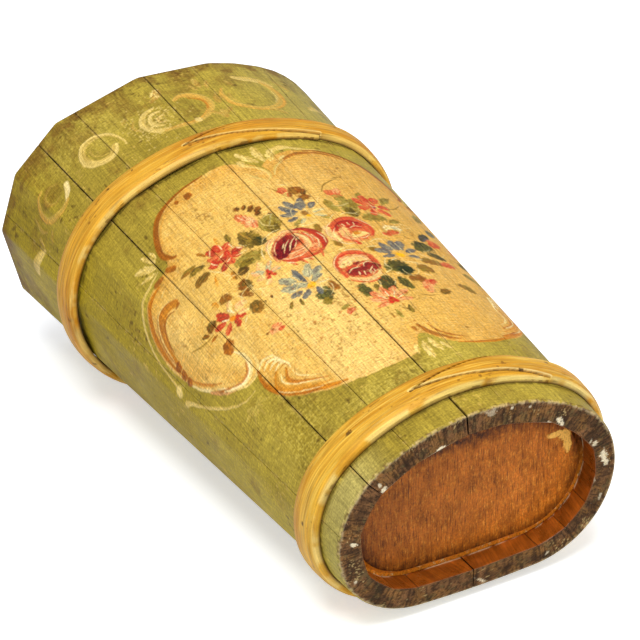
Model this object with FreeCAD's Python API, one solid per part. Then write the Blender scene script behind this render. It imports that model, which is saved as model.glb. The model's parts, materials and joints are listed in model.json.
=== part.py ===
# Oval coopered vessel: upright staves, a base let into their croze and two bent wooden hoops
import FreeCAD, Part
import math
import os

Vector = FreeCAD.Vector

# Body: an oval that widens evenly from the foot to the mouth; its front and back bow out past
# the level of its two round ends, the back much less
BODY_HEIGHT = 400.0
FOOT_HALF_LENGTH = 89.5
FOOT_END_RADIUS = 54.5
FOOT_FRONT_BOW = 10.5
FOOT_BACK_BOW = 1.0
MOUTH_HALF_LENGTH = 118.5
MOUTH_END_RADIUS = 83.0
MOUTH_FRONT_BOW = 8.0
MOUTH_BACK_BOW = 1.5

# Staves
STAVE_THICKNESS = 13.2
TIGHT_JOINT_GAP = 0.12
OPEN_JOINT_GAP = 0.75
FOOT_ARRIS = 1.2
MOUTH_ARRIS = 0.8
HOLLOW_SHARE = 0.5

# Where each joint meets the outline, as a share of a full turn of the outline's direction,
# from the middle of the front; True marks a joint that has shrunk open
SEAMS_BY_TURN_SHARE = [
    (0.020, False), (0.0715, False), (0.197, False), (0.2645, False), (0.338, False),
    (0.410, False), (0.4847, False), (0.5008, True), (0.5172, False), (0.578, False),
    (0.661, False), (0.783, False), (0.8847, True), (0.9375, False), (0.9869, True),
]
# Soft ridges between the flats that the plane left outside, sharpest at the mouth
RIDGE_TURN_SHARES = [
    0.0256, 0.1173, 0.231, 0.300, 0.375, 0.447, 0.553, 0.617, 0.669, 0.7575, 0.831, 0.9087, 0.978,
]

# Base: boards with a bevelled underside whose tongue sits in the croze
CHIME_DEPTH = 14.7
CROZE_DEPTH = 3.2
TONGUE_THICKNESS = 6.0
TONGUE_CLEARANCE = 0.2
BOARD_BELOW_TONGUE = 2.4
BEVEL_RUN = 2.6
BOARD_TO_CHIME_GAP = 2.4
BOARD_SPLIT_SHARE = 0.58
BOARD_JOINT_GAP = 0.15
DOWEL_RADIUS = 2.0
DOWEL_LENGTH = 30.0
DOWEL_SPACING = 46.0
DOWEL_CLEARANCE = 0.05

# Hoops: a bent strip each, thickest along its middle, with ends that hook past each other in front
HOOP_FIT = 0.35
HOOP_THICKNESS = 5.4
HOOP_EDGE_THICKNESS = 3.0
LOWER_HOOP_START = 18.4
LOWER_HOOP_WIDTH = 22.0
UPPER_HOOP_START = 296.5
UPPER_HOOP_WIDTH = 20.2
LOCK_GAP = 0.35
LOWER_LOCK_HALF_LENGTH = 33.0
UPPER_LOCK_HALF_LENGTH = 33.0
# The lock's cut, from the mouth-side edge to the hidden wedge's point and back to the foot side:
# along the lock in half lengths, across the hoop in widths
LOCK_TIP_SHARE = (1.0, 1.0)
LOCK_WEDGE_SHARE = (-0.9, 0.56)
LOWER_LOCK_TAIL_SHARES = [(-0.2, 0.40), (0.3, 0.30), (0.9, 0.23), (1.5, 0.20)]
UPPER_LOCK_TAIL_SHARES = [(-0.1, 0.36), (0.6, 0.27), (1.2, 0.25), (1.8, 0.22)]

# How finely smooth outlines and the hoops' crowned faces are drawn
POINTS_PER_ARC = 10
CROWN_STEPS = 6

# One overrun serves every cut
OVERRUN = 4.0

FULL_TURN = 2.0 * math.pi


class Oval:
    """Outline of four arcs: two equal ends, a bowed front at -Y and a flatter back at +Y."""

    def __init__(self, half_length, end_radius, front_bow, back_bow):
        self.end_x = half_length - end_radius
        self.end_radius = end_radius
        self.front_depth = end_radius + front_bow
        self.back_depth = end_radius + back_bow
        self.front_radius = self.side_radius(front_bow)
        self.back_radius = self.side_radius(back_bow)
        self.front_y = self.front_radius - self.front_depth
        self.back_y = self.back_depth - self.back_radius
        self.front_break = math.atan2(self.end_x, self.front_y)
        self.back_break = math.atan2(self.end_x, -self.back_y)

    def side_radius(self, bow):
        """Radius of the arc that bows out past both ends and runs smoothly into them."""
        depth = self.end_radius + bow
        return (self.end_x ** 2 + depth ** 2 - self.end_radius ** 2) / (2.0 * bow)

    def point(self, turn):
        """Point where the outline faces the given direction, turned from the front centre."""
        turn = turn % FULL_TURN
        normal = facing(turn)
        half = math.pi
        if turn < self.front_break or turn > FULL_TURN - self.front_break:
            return Vector(0, self.front_y, 0) + normal * self.front_radius
        if abs(turn - half) < self.back_break:
            return Vector(0, self.back_y, 0) + normal * self.back_radius
        side = 1 if turn < half else -1
        return Vector(side * self.end_x, 0, 0) + normal * self.end_radius

    def sampled_turns(self):
        """Directions spread evenly over each of the four arcs."""
        breaks = [-self.front_break, self.front_break, math.pi - self.back_break,
                  math.pi + self.back_break, FULL_TURN - self.front_break]
        turns = []
        for first, last in zip(breaks, breaks[1:]):
            for step in range(POINTS_PER_ARC):
                turns.append(first + (last - first) * step / POINTS_PER_ARC)
        return turns


def facing(turn):
    """Unit vector that looks outward after turning from the front, -Y, towards +X."""
    return Vector(math.sin(turn), -math.cos(turn), 0)


FOOT = Oval(FOOT_HALF_LENGTH, FOOT_END_RADIUS, FOOT_FRONT_BOW, FOOT_BACK_BOW)
MOUTH = Oval(MOUTH_HALF_LENGTH, MOUTH_END_RADIUS, MOUTH_FRONT_BOW, MOUTH_BACK_BOW)


def wall_point(turn, height, grow=0.0):
    """Point of the smooth outer wall at a height, grown outward by a length."""
    share = height / BODY_HEIGHT
    level = FOOT.point(turn) * (1.0 - share) + MOUTH.point(turn) * share
    return level + facing(turn) * grow + Vector(0, 0, height)


def wall_ring(height, grow):
    """Closed smooth wire round the wall at a height, grown outward by a length."""
    points = [wall_point(turn, height, grow) for turn in FOOT.sampled_turns()]
    curve = Part.BSplineCurve()
    curve.interpolate(Points=points, PeriodicFlag=True)
    return Part.Wire([curve.toShape()])


def lofted(wires):
    return Part.makeLoft(wires, True, True)


# Staves


def ridges_between(first, last):
    """Directions of the ridges that lie on a stave between its two joints."""
    found = []
    for share in RIDGE_TURN_SHARES:
        for turn in (share * FULL_TURN, (share - 1.0) * FULL_TURN):
            if first < turn < last:
                found.append(turn)
    return sorted(found)


def mouth_corner(turn):
    """Point of the planed mouth outline, which runs straight from ridge to ridge."""
    shares = sorted(RIDGE_TURN_SHARES)
    ridges = [share * FULL_TURN for share in shares]
    ridges = [ridges[-1] - FULL_TURN] + ridges + [ridges[0] + FULL_TURN]
    turn = turn % FULL_TURN
    for low, high in zip(ridges, ridges[1:]):
        if low <= turn <= high:
            start = MOUTH.point(low)
            chord = MOUTH.point(high) - start
            aim = facing(turn)
            target = MOUTH.point(turn)
            along = Vector(-aim.y, aim.x, 0)
            reach = (target - start).dot(along) / chord.dot(along)
            return start + chord * reach
    raise ValueError("no ridge pair holds this direction")


def outer_point(turn, height, mouthward):
    """Point of the worked outside: smooth at the foot, planed flat at the mouth."""
    if mouthward:
        return mouth_corner(turn) + Vector(0, 0, height)
    return FOOT.point(turn) + Vector(0, 0, height)


def stave_section(stave, height, mouthward, inset):
    """Closed wire across one stave, its outside drawn in by an inset."""
    first, last, first_gap, last_gap = stave
    turns = [first] + ridges_between(first, last) + [last]
    outer = [outer_point(turn, height, mouthward) - facing(turn) * inset for turn in turns]
    inner = [outer_point(turn, height, mouthward) - facing(turn) * STAVE_THICKNESS
             for turn in (first, last)]
    chord = (inner[1] - inner[0]).normalize()
    outer[0] += chord * (first_gap / 2.0)
    inner[0] += chord * (first_gap / 2.0)
    outer[-1] -= chord * (last_gap / 2.0)
    inner[1] -= chord * (last_gap / 2.0)
    edges = []
    for number in range(len(outer) - 1):
        start, end = outer[number], outer[number + 1]
        if mouthward:
            edges.append(Part.LineSegment(start, end).toShape())
        else:
            middle_turn = (turns[number] + turns[number + 1]) / 2.0
            middle = outer_point(middle_turn, height, mouthward) - facing(middle_turn) * inset
            edges.append(Part.Arc(start, middle, end).toShape())
    middle_turn = (first + last) / 2.0
    level = FOOT if not mouthward else MOUTH
    full = level.point(middle_turn) - facing(middle_turn) * STAVE_THICKNESS + Vector(0, 0, height)
    flat = (inner[0] + inner[1]) / 2.0
    across = facing(middle_turn)
    hollow = flat + across * ((full - flat).dot(across) * HOLLOW_SHARE)
    edges.append(Part.LineSegment(outer[-1], inner[1]).toShape())
    if (hollow - flat).Length > TIGHT_JOINT_GAP:
        edges.append(Part.Arc(inner[1], hollow, inner[0]).toShape())
    else:
        edges.append(Part.LineSegment(inner[1], inner[0]).toShape())
    edges.append(Part.LineSegment(inner[0], outer[0]).toShape())
    return Part.Wire(edges)


def staves():
    """Each stave as the directions of its two joints and the gaps there."""
    joints = [(share * FULL_TURN, OPEN_JOINT_GAP if is_open else TIGHT_JOINT_GAP)
              for share, is_open in SEAMS_BY_TURN_SHARE]
    last_turn, last_gap = joints[-1]
    before = (last_turn - FULL_TURN, last_gap)
    found = []
    for (first, first_gap), (last, gap) in zip([before] + joints[:-1], joints):
        found.append((first, last, first_gap, gap))
    return found


def croze_cutter():
    """Flat oval that cuts the groove for the base's tongue into every stave."""
    low = CHIME_DEPTH
    high = CHIME_DEPTH + TONGUE_THICKNESS + 2.0 * TONGUE_CLEARANCE
    grow = CROZE_DEPTH - STAVE_THICKNESS
    return lofted([wall_ring(low, grow), wall_ring(high, grow)])


def make_stave(stave, croze):
    sections = [
        stave_section(stave, 0.0, False, FOOT_ARRIS),
        stave_section(stave, FOOT_ARRIS, False, 0.0),
        stave_section(stave, BODY_HEIGHT - MOUTH_ARRIS, True, 0.0),
        stave_section(stave, BODY_HEIGHT, True, MOUTH_ARRIS),
    ]
    return lofted(sections).cut(croze)


# Base


def base_disc():
    """Whole base: a tongue all round and a bevelled part that stands proud below it."""
    tongue_low = CHIME_DEPTH + TONGUE_CLEARANCE
    tongue_high = tongue_low + TONGUE_THICKNESS
    tongue_grow = CROZE_DEPTH - STAVE_THICKNESS - TONGUE_CLEARANCE
    tongue = lofted([wall_ring(tongue_low, tongue_grow), wall_ring(tongue_high, tongue_grow)])
    proud_grow = -STAVE_THICKNESS - BOARD_TO_CHIME_GAP
    proud_low = tongue_low - BOARD_BELOW_TONGUE
    proud = lofted([wall_ring(proud_low, proud_grow - BEVEL_RUN), wall_ring(tongue_low, proud_grow)])
    return tongue.fuse(proud).removeSplitter()


def board_split_x():
    """Where the joint between the two boards lies, off to the right of the middle."""
    return FOOT_HALF_LENGTH * BOARD_SPLIT_SHARE


def half_space(from_x, to_x):
    """Slab across the whole vessel between two places along its length."""
    depth = MOUTH.front_depth + MOUTH.back_depth
    corner = Vector(from_x, -MOUTH.front_depth, 0)
    return Part.makeBox(to_x - from_x, depth, BODY_HEIGHT, corner)


def dowel_axes():
    """Middle of each hidden dowel on the joint between the two boards."""
    height = CHIME_DEPTH + TONGUE_CLEARANCE + TONGUE_THICKNESS / 2.0
    return [Vector(board_split_x(), side * DOWEL_SPACING / 2.0, height) for side in (-1, 1)]


def dowel_shape(middle, radius, length):
    start = middle - Vector(length / 2.0, 0, 0)
    return Part.makeCylinder(radius, length, start, Vector(1, 0, 0))


def make_base():
    disc = base_disc()
    half_gap = BOARD_JOINT_GAP / 2.0
    split_x = board_split_x()
    wide = disc.common(half_space(-MOUTH_HALF_LENGTH, split_x - half_gap))
    narrow = disc.common(half_space(split_x + half_gap, MOUTH_HALF_LENGTH))
    pieces = {}
    for number, middle in enumerate(dowel_axes(), start=1):
        hole = dowel_shape(middle, DOWEL_RADIUS + DOWEL_CLEARANCE, DOWEL_LENGTH + 2.0 * DOWEL_CLEARANCE)
        wide = wide.cut(hole)
        narrow = narrow.cut(hole)
        pieces[f"base_dowel_{number}"] = dowel_shape(middle, DOWEL_RADIUS, DOWEL_LENGTH)
    pieces["base_board_wide"] = wide
    pieces["base_board_narrow"] = narrow
    return pieces


# Hoops


def hoop_band(start, width):
    """Closed band round the staves whose outer face swells towards its middle."""
    levels = []
    for step in range(CROWN_STEPS + 1):
        share = step / CROWN_STEPS
        swell = 1.0 - (2.0 * share - 1.0) ** 4
        thickness = HOOP_EDGE_THICKNESS + (HOOP_THICKNESS - HOOP_EDGE_THICKNESS) * swell
        levels.append(wall_ring(start + width * share, HOOP_FIT + thickness))
    bore = lofted([wall_ring(start, HOOP_FIT), wall_ring(start + width, HOOP_FIT)])
    return lofted(levels).cut(bore)


def lock_cutter(start, width, half_length, tail_shares):
    """Thin cut in front that parts the strip's two hooked ends."""
    shares = [LOCK_TIP_SHARE, LOCK_WEDGE_SHARE] + tail_shares
    path = [Vector(along * half_length, 0, start + across * width) for along, across in shares]
    tip, wedge = path[0], path[1]
    lead = (tip - wedge).normalize() * OVERRUN
    drop = Vector(path[-1].x, 0, start - OVERRUN)
    half_gap = LOCK_GAP / 2.0
    strips = [(tip + lead, wedge, Vector(0, 0, half_gap))]
    for first, last in zip(path[1:], path[2:]):
        strips.append((first, last, Vector(0, 0, half_gap)))
    strips.append((path[-1], drop, Vector(half_gap, 0, 0)))
    reach = MOUTH.front_depth + HOOP_THICKNESS + OVERRUN
    cutter = None
    for first, last, side in strips:
        overlap = (last - first).normalize() * half_gap
        first = first - overlap
        last = last + overlap
        corners = [first - side, last - side, last + side, first + side, first - side]
        face = Part.Face(Part.makePolygon(corners))
        solid = face.extrude(Vector(0, -reach, 0))
        cutter = solid if cutter is None else cutter.fuse(solid)
    return cutter


def make_hoop(start, width, half_length, tail_shares):
    band = hoop_band(start, width)
    return band.cut(lock_cutter(start, width, half_length, tail_shares))


# Placing: the vessel lies on its back, so that both hoops touch the floor


def lay_down():
    """Turn from upright to lying, mouth towards -X and front up, back line level."""
    laid = FreeCAD.Rotation(Vector(0, 1, 0), Vector(0, 0, -1), Vector(-1, 0, 0), "XYZ")
    slope = math.degrees(math.atan2(MOUTH.back_depth - FOOT.back_depth, BODY_HEIGHT))
    level = FreeCAD.Rotation(Vector(0, 1, 0), slope)
    return level.multiply(laid)


def place(pieces):
    """Turn every piece alike and set the whole on its lowest points, centred on the origin."""
    turned = FreeCAD.Placement(Vector(0, 0, 0), lay_down())
    for name in pieces:
        pieces[name].Placement = turned.multiply(pieces[name].Placement)
    bounds = Part.makeCompound(list(pieces.values())).optimalBoundingBox(False, False)
    shift = Vector(-bounds.Center.x, -bounds.Center.y, -bounds.ZMin)
    print("shift of the foot's centre", shift)
    for name in pieces:
        pieces[name].translate(shift)
    return pieces


def main():
    croze = croze_cutter()
    pieces = {}
    for number, stave in enumerate(staves(), start=1):
        pieces[f"stave_{number:02d}"] = make_stave(stave, croze)
    pieces.update(make_base())
    pieces["lower_hoop"] = make_hoop(LOWER_HOOP_START, LOWER_HOOP_WIDTH,
                                     LOWER_LOCK_HALF_LENGTH, LOWER_LOCK_TAIL_SHARES)
    pieces["upper_hoop"] = make_hoop(UPPER_HOOP_START, UPPER_HOOP_WIDTH,
                                     UPPER_LOCK_HALF_LENGTH, UPPER_LOCK_TAIL_SHARES)
    place(pieces)
    os.makedirs("parts", exist_ok=True)
    for name, shape in pieces.items():
        print(name, "solids", len(shape.Solids), "valid", shape.isValid(), "volume", round(shape.Volume))
        shape.exportStep(f"parts/{name}.step")


main()
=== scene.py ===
"""Oval coopered vessel, painted: staves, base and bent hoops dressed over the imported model."""

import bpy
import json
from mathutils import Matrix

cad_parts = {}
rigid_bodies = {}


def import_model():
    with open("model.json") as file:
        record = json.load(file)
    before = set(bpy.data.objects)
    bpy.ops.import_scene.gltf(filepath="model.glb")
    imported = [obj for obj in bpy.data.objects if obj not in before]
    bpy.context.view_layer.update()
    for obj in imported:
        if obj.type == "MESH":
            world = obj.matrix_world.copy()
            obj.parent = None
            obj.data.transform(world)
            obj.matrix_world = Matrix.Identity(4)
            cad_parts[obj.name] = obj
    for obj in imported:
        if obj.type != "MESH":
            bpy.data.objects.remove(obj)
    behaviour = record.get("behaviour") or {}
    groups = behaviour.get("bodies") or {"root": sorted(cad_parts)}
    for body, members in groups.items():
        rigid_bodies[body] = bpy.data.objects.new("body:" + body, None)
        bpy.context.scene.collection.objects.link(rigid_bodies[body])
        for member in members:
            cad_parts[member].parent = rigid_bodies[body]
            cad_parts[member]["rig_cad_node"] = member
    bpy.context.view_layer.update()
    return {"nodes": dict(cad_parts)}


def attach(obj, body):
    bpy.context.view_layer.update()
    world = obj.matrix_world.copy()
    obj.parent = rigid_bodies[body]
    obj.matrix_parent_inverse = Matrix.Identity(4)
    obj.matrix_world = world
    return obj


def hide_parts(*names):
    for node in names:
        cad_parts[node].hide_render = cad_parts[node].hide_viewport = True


bl_info = {
    "name": "Painted Coopered Vessel",
    "version": (1, 0, 0),
    "blender": (4, 5, 0),
    "location": "View3D > Sidebar > Vessel",
    "description": "Builds a painted, stave-built oval vessel with bent wooden hoops on its stage",
    "category": "Object",
}

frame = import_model()

import json
import math

import bpy
import numpy as np
from mathutils import Matrix, Vector

MM = 0.001

# The shape, in millimetres. The sizes are the source's, but for those that a comment gives to the scene alone
BODY_HEIGHT = 400.0
FOOT = dict(half_length=89.5, end_radius=54.5, front_bow=10.5, back_bow=1.0)
MOUTH = dict(half_length=118.5, end_radius=83.0, front_bow=8.0, back_bow=1.5)
STAVE_THICKNESS = 13.2
# How deep the end faces reach, and where their rows of points start and stop
END_FACE_DEPTH = 12.9
FOOT_END_START = 12.7
MOUTH_END_STOP = 12.75
HOLLOW_SHARE = 0.5
FOOT_ARRIS = 1.2
MOUTH_ARRIS = 0.8
CHIME_DEPTH = 14.7
CROZE_TOP = 21.1
CROZE_FLOOR = 10.0
BOARD_FACE_DEPTH = 12.5
TIGHT_GAP = 0.12
# The scene's own: SEAM_WEAR opens this gap more and less along a seam
OPEN_GAP = 0.5
# How far the corner of a stave is worn back beside a tight and an open seam
TIGHT_SEAM_ARRIS = 0.3
OPEN_SEAM_ARRIS = 0.55
# Share of an arris by which its middle point lies in, which makes it round
ARRIS_MIDDLE = 0.29
SEAMS = [
    (0.020, False), (0.0715, False), (0.197, False), (0.2645, False), (0.338, False),
    (0.410, False), (0.4847, False), (0.5008, True), (0.5172, False), (0.578, False),
    (0.661, False), (0.783, False), (0.8847, True), (0.9375, False), (0.9869, True),
]
# How each seam in sight has worn: height, how far it stands open and how dark the paint is beside it, from
# dirt and painted shade
SEAM_WEAR = {
    11: [(0, 0, 0.3), (290, 0, 0.25), (316, 0, 0.5), (400, 0, 0.5)],
    12: [(0, 1.0, 0.8), (18, 0.7, 0.9), (108, 0.7, 0.95), (118, 0.15, 0.45), (228, 0.15, 0.5), (236, 0.9, 1),
         (386, 0.9, 1), (397, 0, 0.6), (400, 0, 0.6)],
    13: [(0, 0, 0.15), (60, 0, 0.3), (200, 0, 0.2), (290, 0, 0.3), (316, 0, 0.6), (400, 0, 0.6)],
    14: [(0, 2.4, 1), (17, 1.8, 1), (20, 1.0, 1), (116, 0.9, 1), (136, 0.5, 0.85),
         (160, 0.3, 0.6), (290, 0.2, 0.6), (316, 0.6, 0.9), (386, 0.6, 1), (397, 0, 0.6), (400, 0, 0.6)],
    0: [(0, 0, 0.1), (200, 0, 0.2), (316, 0, 0.4), (400, 0, 0.4)],
    1: [(0, 0, 0.15), (290, 0, 0.3), (316, 0, 0.55), (400, 0, 0.6)],
}
# The scene's own, and more than the solids have: soft ridges left by the plane, as shares of a turn
RIDGES = [
    0.0317, 0.050, 0.068, 0.091, 0.110, 0.1289, 0.154, 0.181, 0.209, 0.231, 0.300, 0.375, 0.447,
    0.553, 0.617, 0.6663, 0.7603, 0.8378, 0.9188, 0.9828,
]
# Width of a ridge's rounding and how far it counts, in steps of TURNS
RIDGE_SOFTNESS = 15.0
RIDGE_REACH = 45
HOOP_FIT = 0.35
HOOP_THICKNESS = 5.4
HOOP_EDGE = 3.0
HOOP_FACE_POINTS = 41
HOOP_STEPS = 1100
LOWER_HOOP = dict(start=18.4, width=22.0)
UPPER_HOOP = dict(start=296.5, width=20.2)
# The scene's own: each lock's two lines from its tongue's tip, in millimetres along and shares across
LOWER_LOCK = ([(44, 1.0), (20, 0.86), (-4, 0.70), (-29.7, 0.52)],
              [(-29.7, 0.52), (-6.6, 0.42), (14, 0.30), (32, 0.25), (52, 0.12), (62, 0.06)])
UPPER_LOCK = ([(38, 1.0), (14, 0.90), (-8, 0.72), (-31, 0.54)],
              [(-31, 0.54), (-6, 0.40), (20, 0.22), (42, 0.12), (66, 0.07), (66, 0.0)])

# Where the middle of the foot lies once the vessel is laid on its back
FOOT_PLACE = (199.9786, 0.2493, 61.0897)

# The sheet of paint: how far it goes round to each side, and how fine it is
PAINT_REACH = 346.0
PAINT_STEP = 0.4
# Staves whose painting is in sight, and the pitch of the others' points: round, at the foot, up the wall
SEEN_STAVES = (1, 2, 3, 4, 12, 13, 14, 15)
PLAIN_PITCH = (1.3, 0.8, 4.0)

# Camera and lamps, in metres in the frame; the camera's directions come from the fit to the photo
CAMERA_PLACE = (1.32476584, -0.65965885, 0.90621145)
CAMERA_RIGHT = (0.47185146, 0.88050198, -0.04552437)
CAMERA_UP = (-0.40891912, 0.26429562, 0.87346035)
CAMERA_BACK = (0.78111545, -0.39352776, 0.48476237)
CAMERA_LENS = 157.118
MAIN_LAMP = dict(place=(0.50, -0.27, 1.60), size=1.1)
SIDE_LAMP = dict(place=(1.5, 0.7, 0.8), size=1.2)
LAMP_AIM = (0, 0, 0.08)


def linear(code):
    """Linear colour of an sRGB hex code, with its alpha."""
    parts = [int(code[k:k + 2], 16) / 255 for k in (1, 3, 5)]
    return tuple(p / 12.92 if p <= 0.04045 else ((p + 0.055) / 1.055) ** 2.4 for p in parts) + (1.0,)


def tint(code):
    return np.array(linear(code)[:3])


# Wall geometry


def oval_points(half_length, end_radius, front_bow, back_bow, turns):
    """Points of an outline of four arcs where it faces each turn from the front, -Y, towards +X."""
    end_x = half_length - end_radius
    facing = np.stack([np.sin(turns), -np.cos(turns)], -1)

    def side_radius(bow):
        depth = end_radius + bow
        return (end_x ** 2 + depth ** 2 - end_radius ** 2) / (2 * bow)

    front, back = side_radius(front_bow), side_radius(back_bow)
    front_y = front - end_radius - front_bow
    back_y = end_radius + back_bow - back
    on_front = np.abs(turns) < math.atan2(end_x, front_y)
    on_back = math.pi - np.abs(turns) < math.atan2(end_x, -back_y)
    on_end = ~(on_front | on_back)
    centre = np.zeros_like(facing)
    centre[on_front, 1] = front_y
    centre[on_back, 1] = back_y
    centre[on_end, 0] = np.sign(turns[on_end]) * end_x
    radius = np.where(on_front, front, np.where(on_back, back, end_radius))
    return centre + facing * radius[:, None]


TURNS = np.linspace(-math.pi, math.pi, 7201)
FOOT_LINE = oval_points(turns=TURNS, **FOOT)
MOUTH_OVAL = oval_points(turns=TURNS, **MOUTH)


def planed(line):
    """The outline planed flat from ridge to ridge, its ridges worn a little round."""
    ridges = sorted((share + 0.5) % 1.0 - 0.5 for share in RIDGES)
    ridges = [ridges[-1] - 1.0] + ridges + [ridges[0] + 1.0]
    ridges = np.array(ridges) * 2 * math.pi
    corners = np.stack([np.interp(ridges, TURNS, line[:, k], period=2 * math.pi) for k in (0, 1)], -1)
    flat = np.empty_like(line)
    for low, high, start, end in zip(ridges, ridges[1:], corners, corners[1:]):
        held = (TURNS >= low) & (TURNS <= high)
        tangent = np.stack([np.cos(TURNS[held]), np.sin(TURNS[held])], -1)
        chord = end - start
        reach = ((line[held] - start) * tangent).sum(1) / (chord * tangent).sum(1)
        flat[held] = start + chord * reach[:, None]
    bell = np.exp(-0.5 * (np.arange(-RIDGE_REACH, RIDGE_REACH + 1) / RIDGE_SOFTNESS) ** 2)
    bell /= bell.sum()
    ring = np.vstack([flat[-RIDGE_REACH - 1:-1], flat, flat[1:RIDGE_REACH + 1]])
    return np.stack([np.convolve(ring[:, k], bell, mode="valid") for k in (0, 1)], -1)


MOUTH_LINE = planed(MOUTH_OVAL)


def girth(line):
    """Length round an outline at each turn, from the middle of the front."""
    steps = np.linalg.norm(np.diff(line, axis=0), axis=1)
    run = np.concatenate([[0], np.cumsum(steps)])
    return run - np.interp(0, TURNS, run)


FOOT_GIRTH = girth(FOOT_LINE)
MOUTH_GIRTH = girth(MOUTH_LINE)


def around(turns, height):
    """Length round the wall to each turn at a height."""
    share = height / BODY_HEIGHT
    return (np.interp(turns, TURNS, FOOT_GIRTH) * (1 - share)
            + np.interp(turns, TURNS, MOUTH_GIRTH) * share)


def turns_at(run, height):
    """Turn at which the wall is so far round from the front, up to the middle of the back."""
    share = height / BODY_HEIGHT
    table = FOOT_GIRTH * (1 - share) + MOUTH_GIRTH * share
    return np.interp(run, table, TURNS)


def extended_around(turn, height):
    """Length round the wall, also for turns past the back."""
    laps = np.floor((turn + math.pi) / (2 * math.pi))
    inner = turn - laps * 2 * math.pi
    whole = (FOOT_GIRTH[-1] - FOOT_GIRTH[0]) * (1 - height / BODY_HEIGHT) + (MOUTH_GIRTH[-1]
        - MOUTH_GIRTH[0]) * height / BODY_HEIGHT
    return around(inner, height) + laps * whole


def extended_turns(run, height):
    """Turn for a length round the wall, also past the back."""
    share = height / BODY_HEIGHT
    table = FOOT_GIRTH * (1 - share) + MOUTH_GIRTH * share
    whole = table[-1] - table[0]
    laps = np.floor((run - table[0]) / whole)
    return np.interp(run - laps * whole, table, TURNS) + laps * 2 * math.pi


def wrapped(turns):
    return (turns + math.pi) % (2 * math.pi) - math.pi


def wall(turns, height, mouth=None):
    """Outer wall at a turn and a height, in the vessel's own upright millimetres."""
    mouth = MOUTH_LINE if mouth is None else mouth
    turns = wrapped(turns)
    share = height / BODY_HEIGHT
    x = np.interp(turns, TURNS, FOOT_LINE[:, 0]) * (1 - share) + np.interp(turns, TURNS, mouth[:, 0]) * share
    y = np.interp(turns, TURNS, FOOT_LINE[:, 1]) * (1 - share) + np.interp(turns, TURNS, mouth[:, 1]) * share
    return np.stack([x, y, height + 0 * x], -1)


def outward(turns):
    return np.stack([np.sin(turns), -np.cos(turns), 0 * turns], -1)


SLOPE = math.atan2(MOUTH["end_radius"] + MOUTH["back_bow"] - FOOT["end_radius"] - FOOT["back_bow"],
                   BODY_HEIGHT)
UPRIGHT_X = np.array([0.0, 1.0, 0.0])
UPRIGHT_Y = np.array([-math.sin(SLOPE), 0.0, -math.cos(SLOPE)])
UPRIGHT_Z = np.array([-math.cos(SLOPE), 0.0, math.sin(SLOPE)])


def laid_down(points):
    """Upright millimetres to metres in the frame, where the vessel lies on its back."""
    turned = (points[..., :1] * UPRIGHT_X + points[..., 1:2] * UPRIGHT_Y + points[..., 2:] * UPRIGHT_Z)
    return (turned + np.array(FOOT_PLACE)) * MM


# Chance, always the same


def chance_table(seed):
    return np.random.default_rng(seed).random((256, 256)).astype(np.float32)


CHANCE = {seed: chance_table(seed) for seed in range(8)}


def drift(x, y, seed=0):
    """Smooth noise of about one feature to a unit, from 0 to 1."""
    table = CHANCE[seed % 8]
    shift = 37.3 * seed
    x, y = np.broadcast_arrays(np.asarray(x) + shift, np.asarray(y) + 1.7 * shift)
    col, row = np.floor(x).astype(int), np.floor(y).astype(int)
    fx, fy = x - col, y - row
    fx, fy = fx * fx * (3 - 2 * fx), fy * fy * (3 - 2 * fy)
    a, b = table[col & 255, row & 255], table[(col + 1) & 255, row & 255]
    c, d = table[col & 255, (row + 1) & 255], table[(col + 1) & 255, (row + 1) & 255]
    return (a * (1 - fx) + b * fx) * (1 - fy) + (c * (1 - fx) + d * fx) * fy


def cloud(x, y, seed=0, layers=3):
    """Noise of several sizes added up, from 0 to 1."""
    total, weight = 0.0, 0.0
    for layer in range(layers):
        scale, power = 2.0 ** layer, 0.55 ** layer
        total = total + power * drift(x * scale, y * scale, seed + layer)
        weight += power
    return total / weight


def ramp(value, low, high):
    share = np.clip((value - low) / (high - low), 0, 1)
    return share * share * (3 - 2 * share)


def mixed(first, second, share):
    return first + (second - first) * np.asarray(share)[..., None]


# Paint, laid on with a brush on the unrolled wall: u round it from the front, v up from the foot


PAINT = {
    "green": "#9f8930", "green_pale": "#ae9839", "green_deep": "#826e1e", "green_light": "#bca648",
    "green_grey": "#aea468", "grime": "#6a4414",
    "panel": "#dcb056", "panel_pale": "#e8c06c", "panel_warm": "#cf973a",
    "cream": "#e9cb78", "cream_dull": "#c9a84e", "tan": "#b08434", "white": "#f8e2a6",
    "ochre": "#c87c14", "ochre_deep": "#a85a0c", "ochre_bright": "#e88410", "brown": "#7e400a",
    "brown_dark": "#422408",
    "red": "#c02a1a", "crimson": "#8e1a1c", "wine": "#5f1218", "pink": "#cf6034", "pink_pale": "#e2a266",
    "blue": "#726f62", "blue_deep": "#474a54", "blue_pale": "#aca87e",
    "leaf": "#7e661a", "leaf_dark": "#4f3d10", "leaf_deep": "#1e2c16", "leaf_green": "#484e1a",
    "leaf_soft": "#968434",
    "leaf_brown": "#865614", "yellow": "#f0ac08",
}
INK = {name: tint(code) for name, code in PAINT.items()}


def smooth_path(points, per_span=10):
    """Points along a smooth curve through the given ones."""
    p = np.array(points, float)
    if len(p) == 2:
        share = np.linspace(0, 1, per_span + 1)[:, None]
        return p[0] * (1 - share) + p[1] * share
    p = np.vstack([2 * p[0] - p[1], p, 2 * p[-1] - p[-2]])
    found = []
    for a, b, c, d in zip(p, p[1:], p[2:], p[3:]):
        t = np.linspace(0, 1, per_span, endpoint=False)[:, None]
        found.append(0.5 * (2 * b + (c - a) * t + (2 * a - 5 * b + 4 * c - d) * t ** 2
                            + (3 * b - a - 3 * c + d) * t ** 3))
    return np.vstack(found + [p[-2:-1]])


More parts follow.
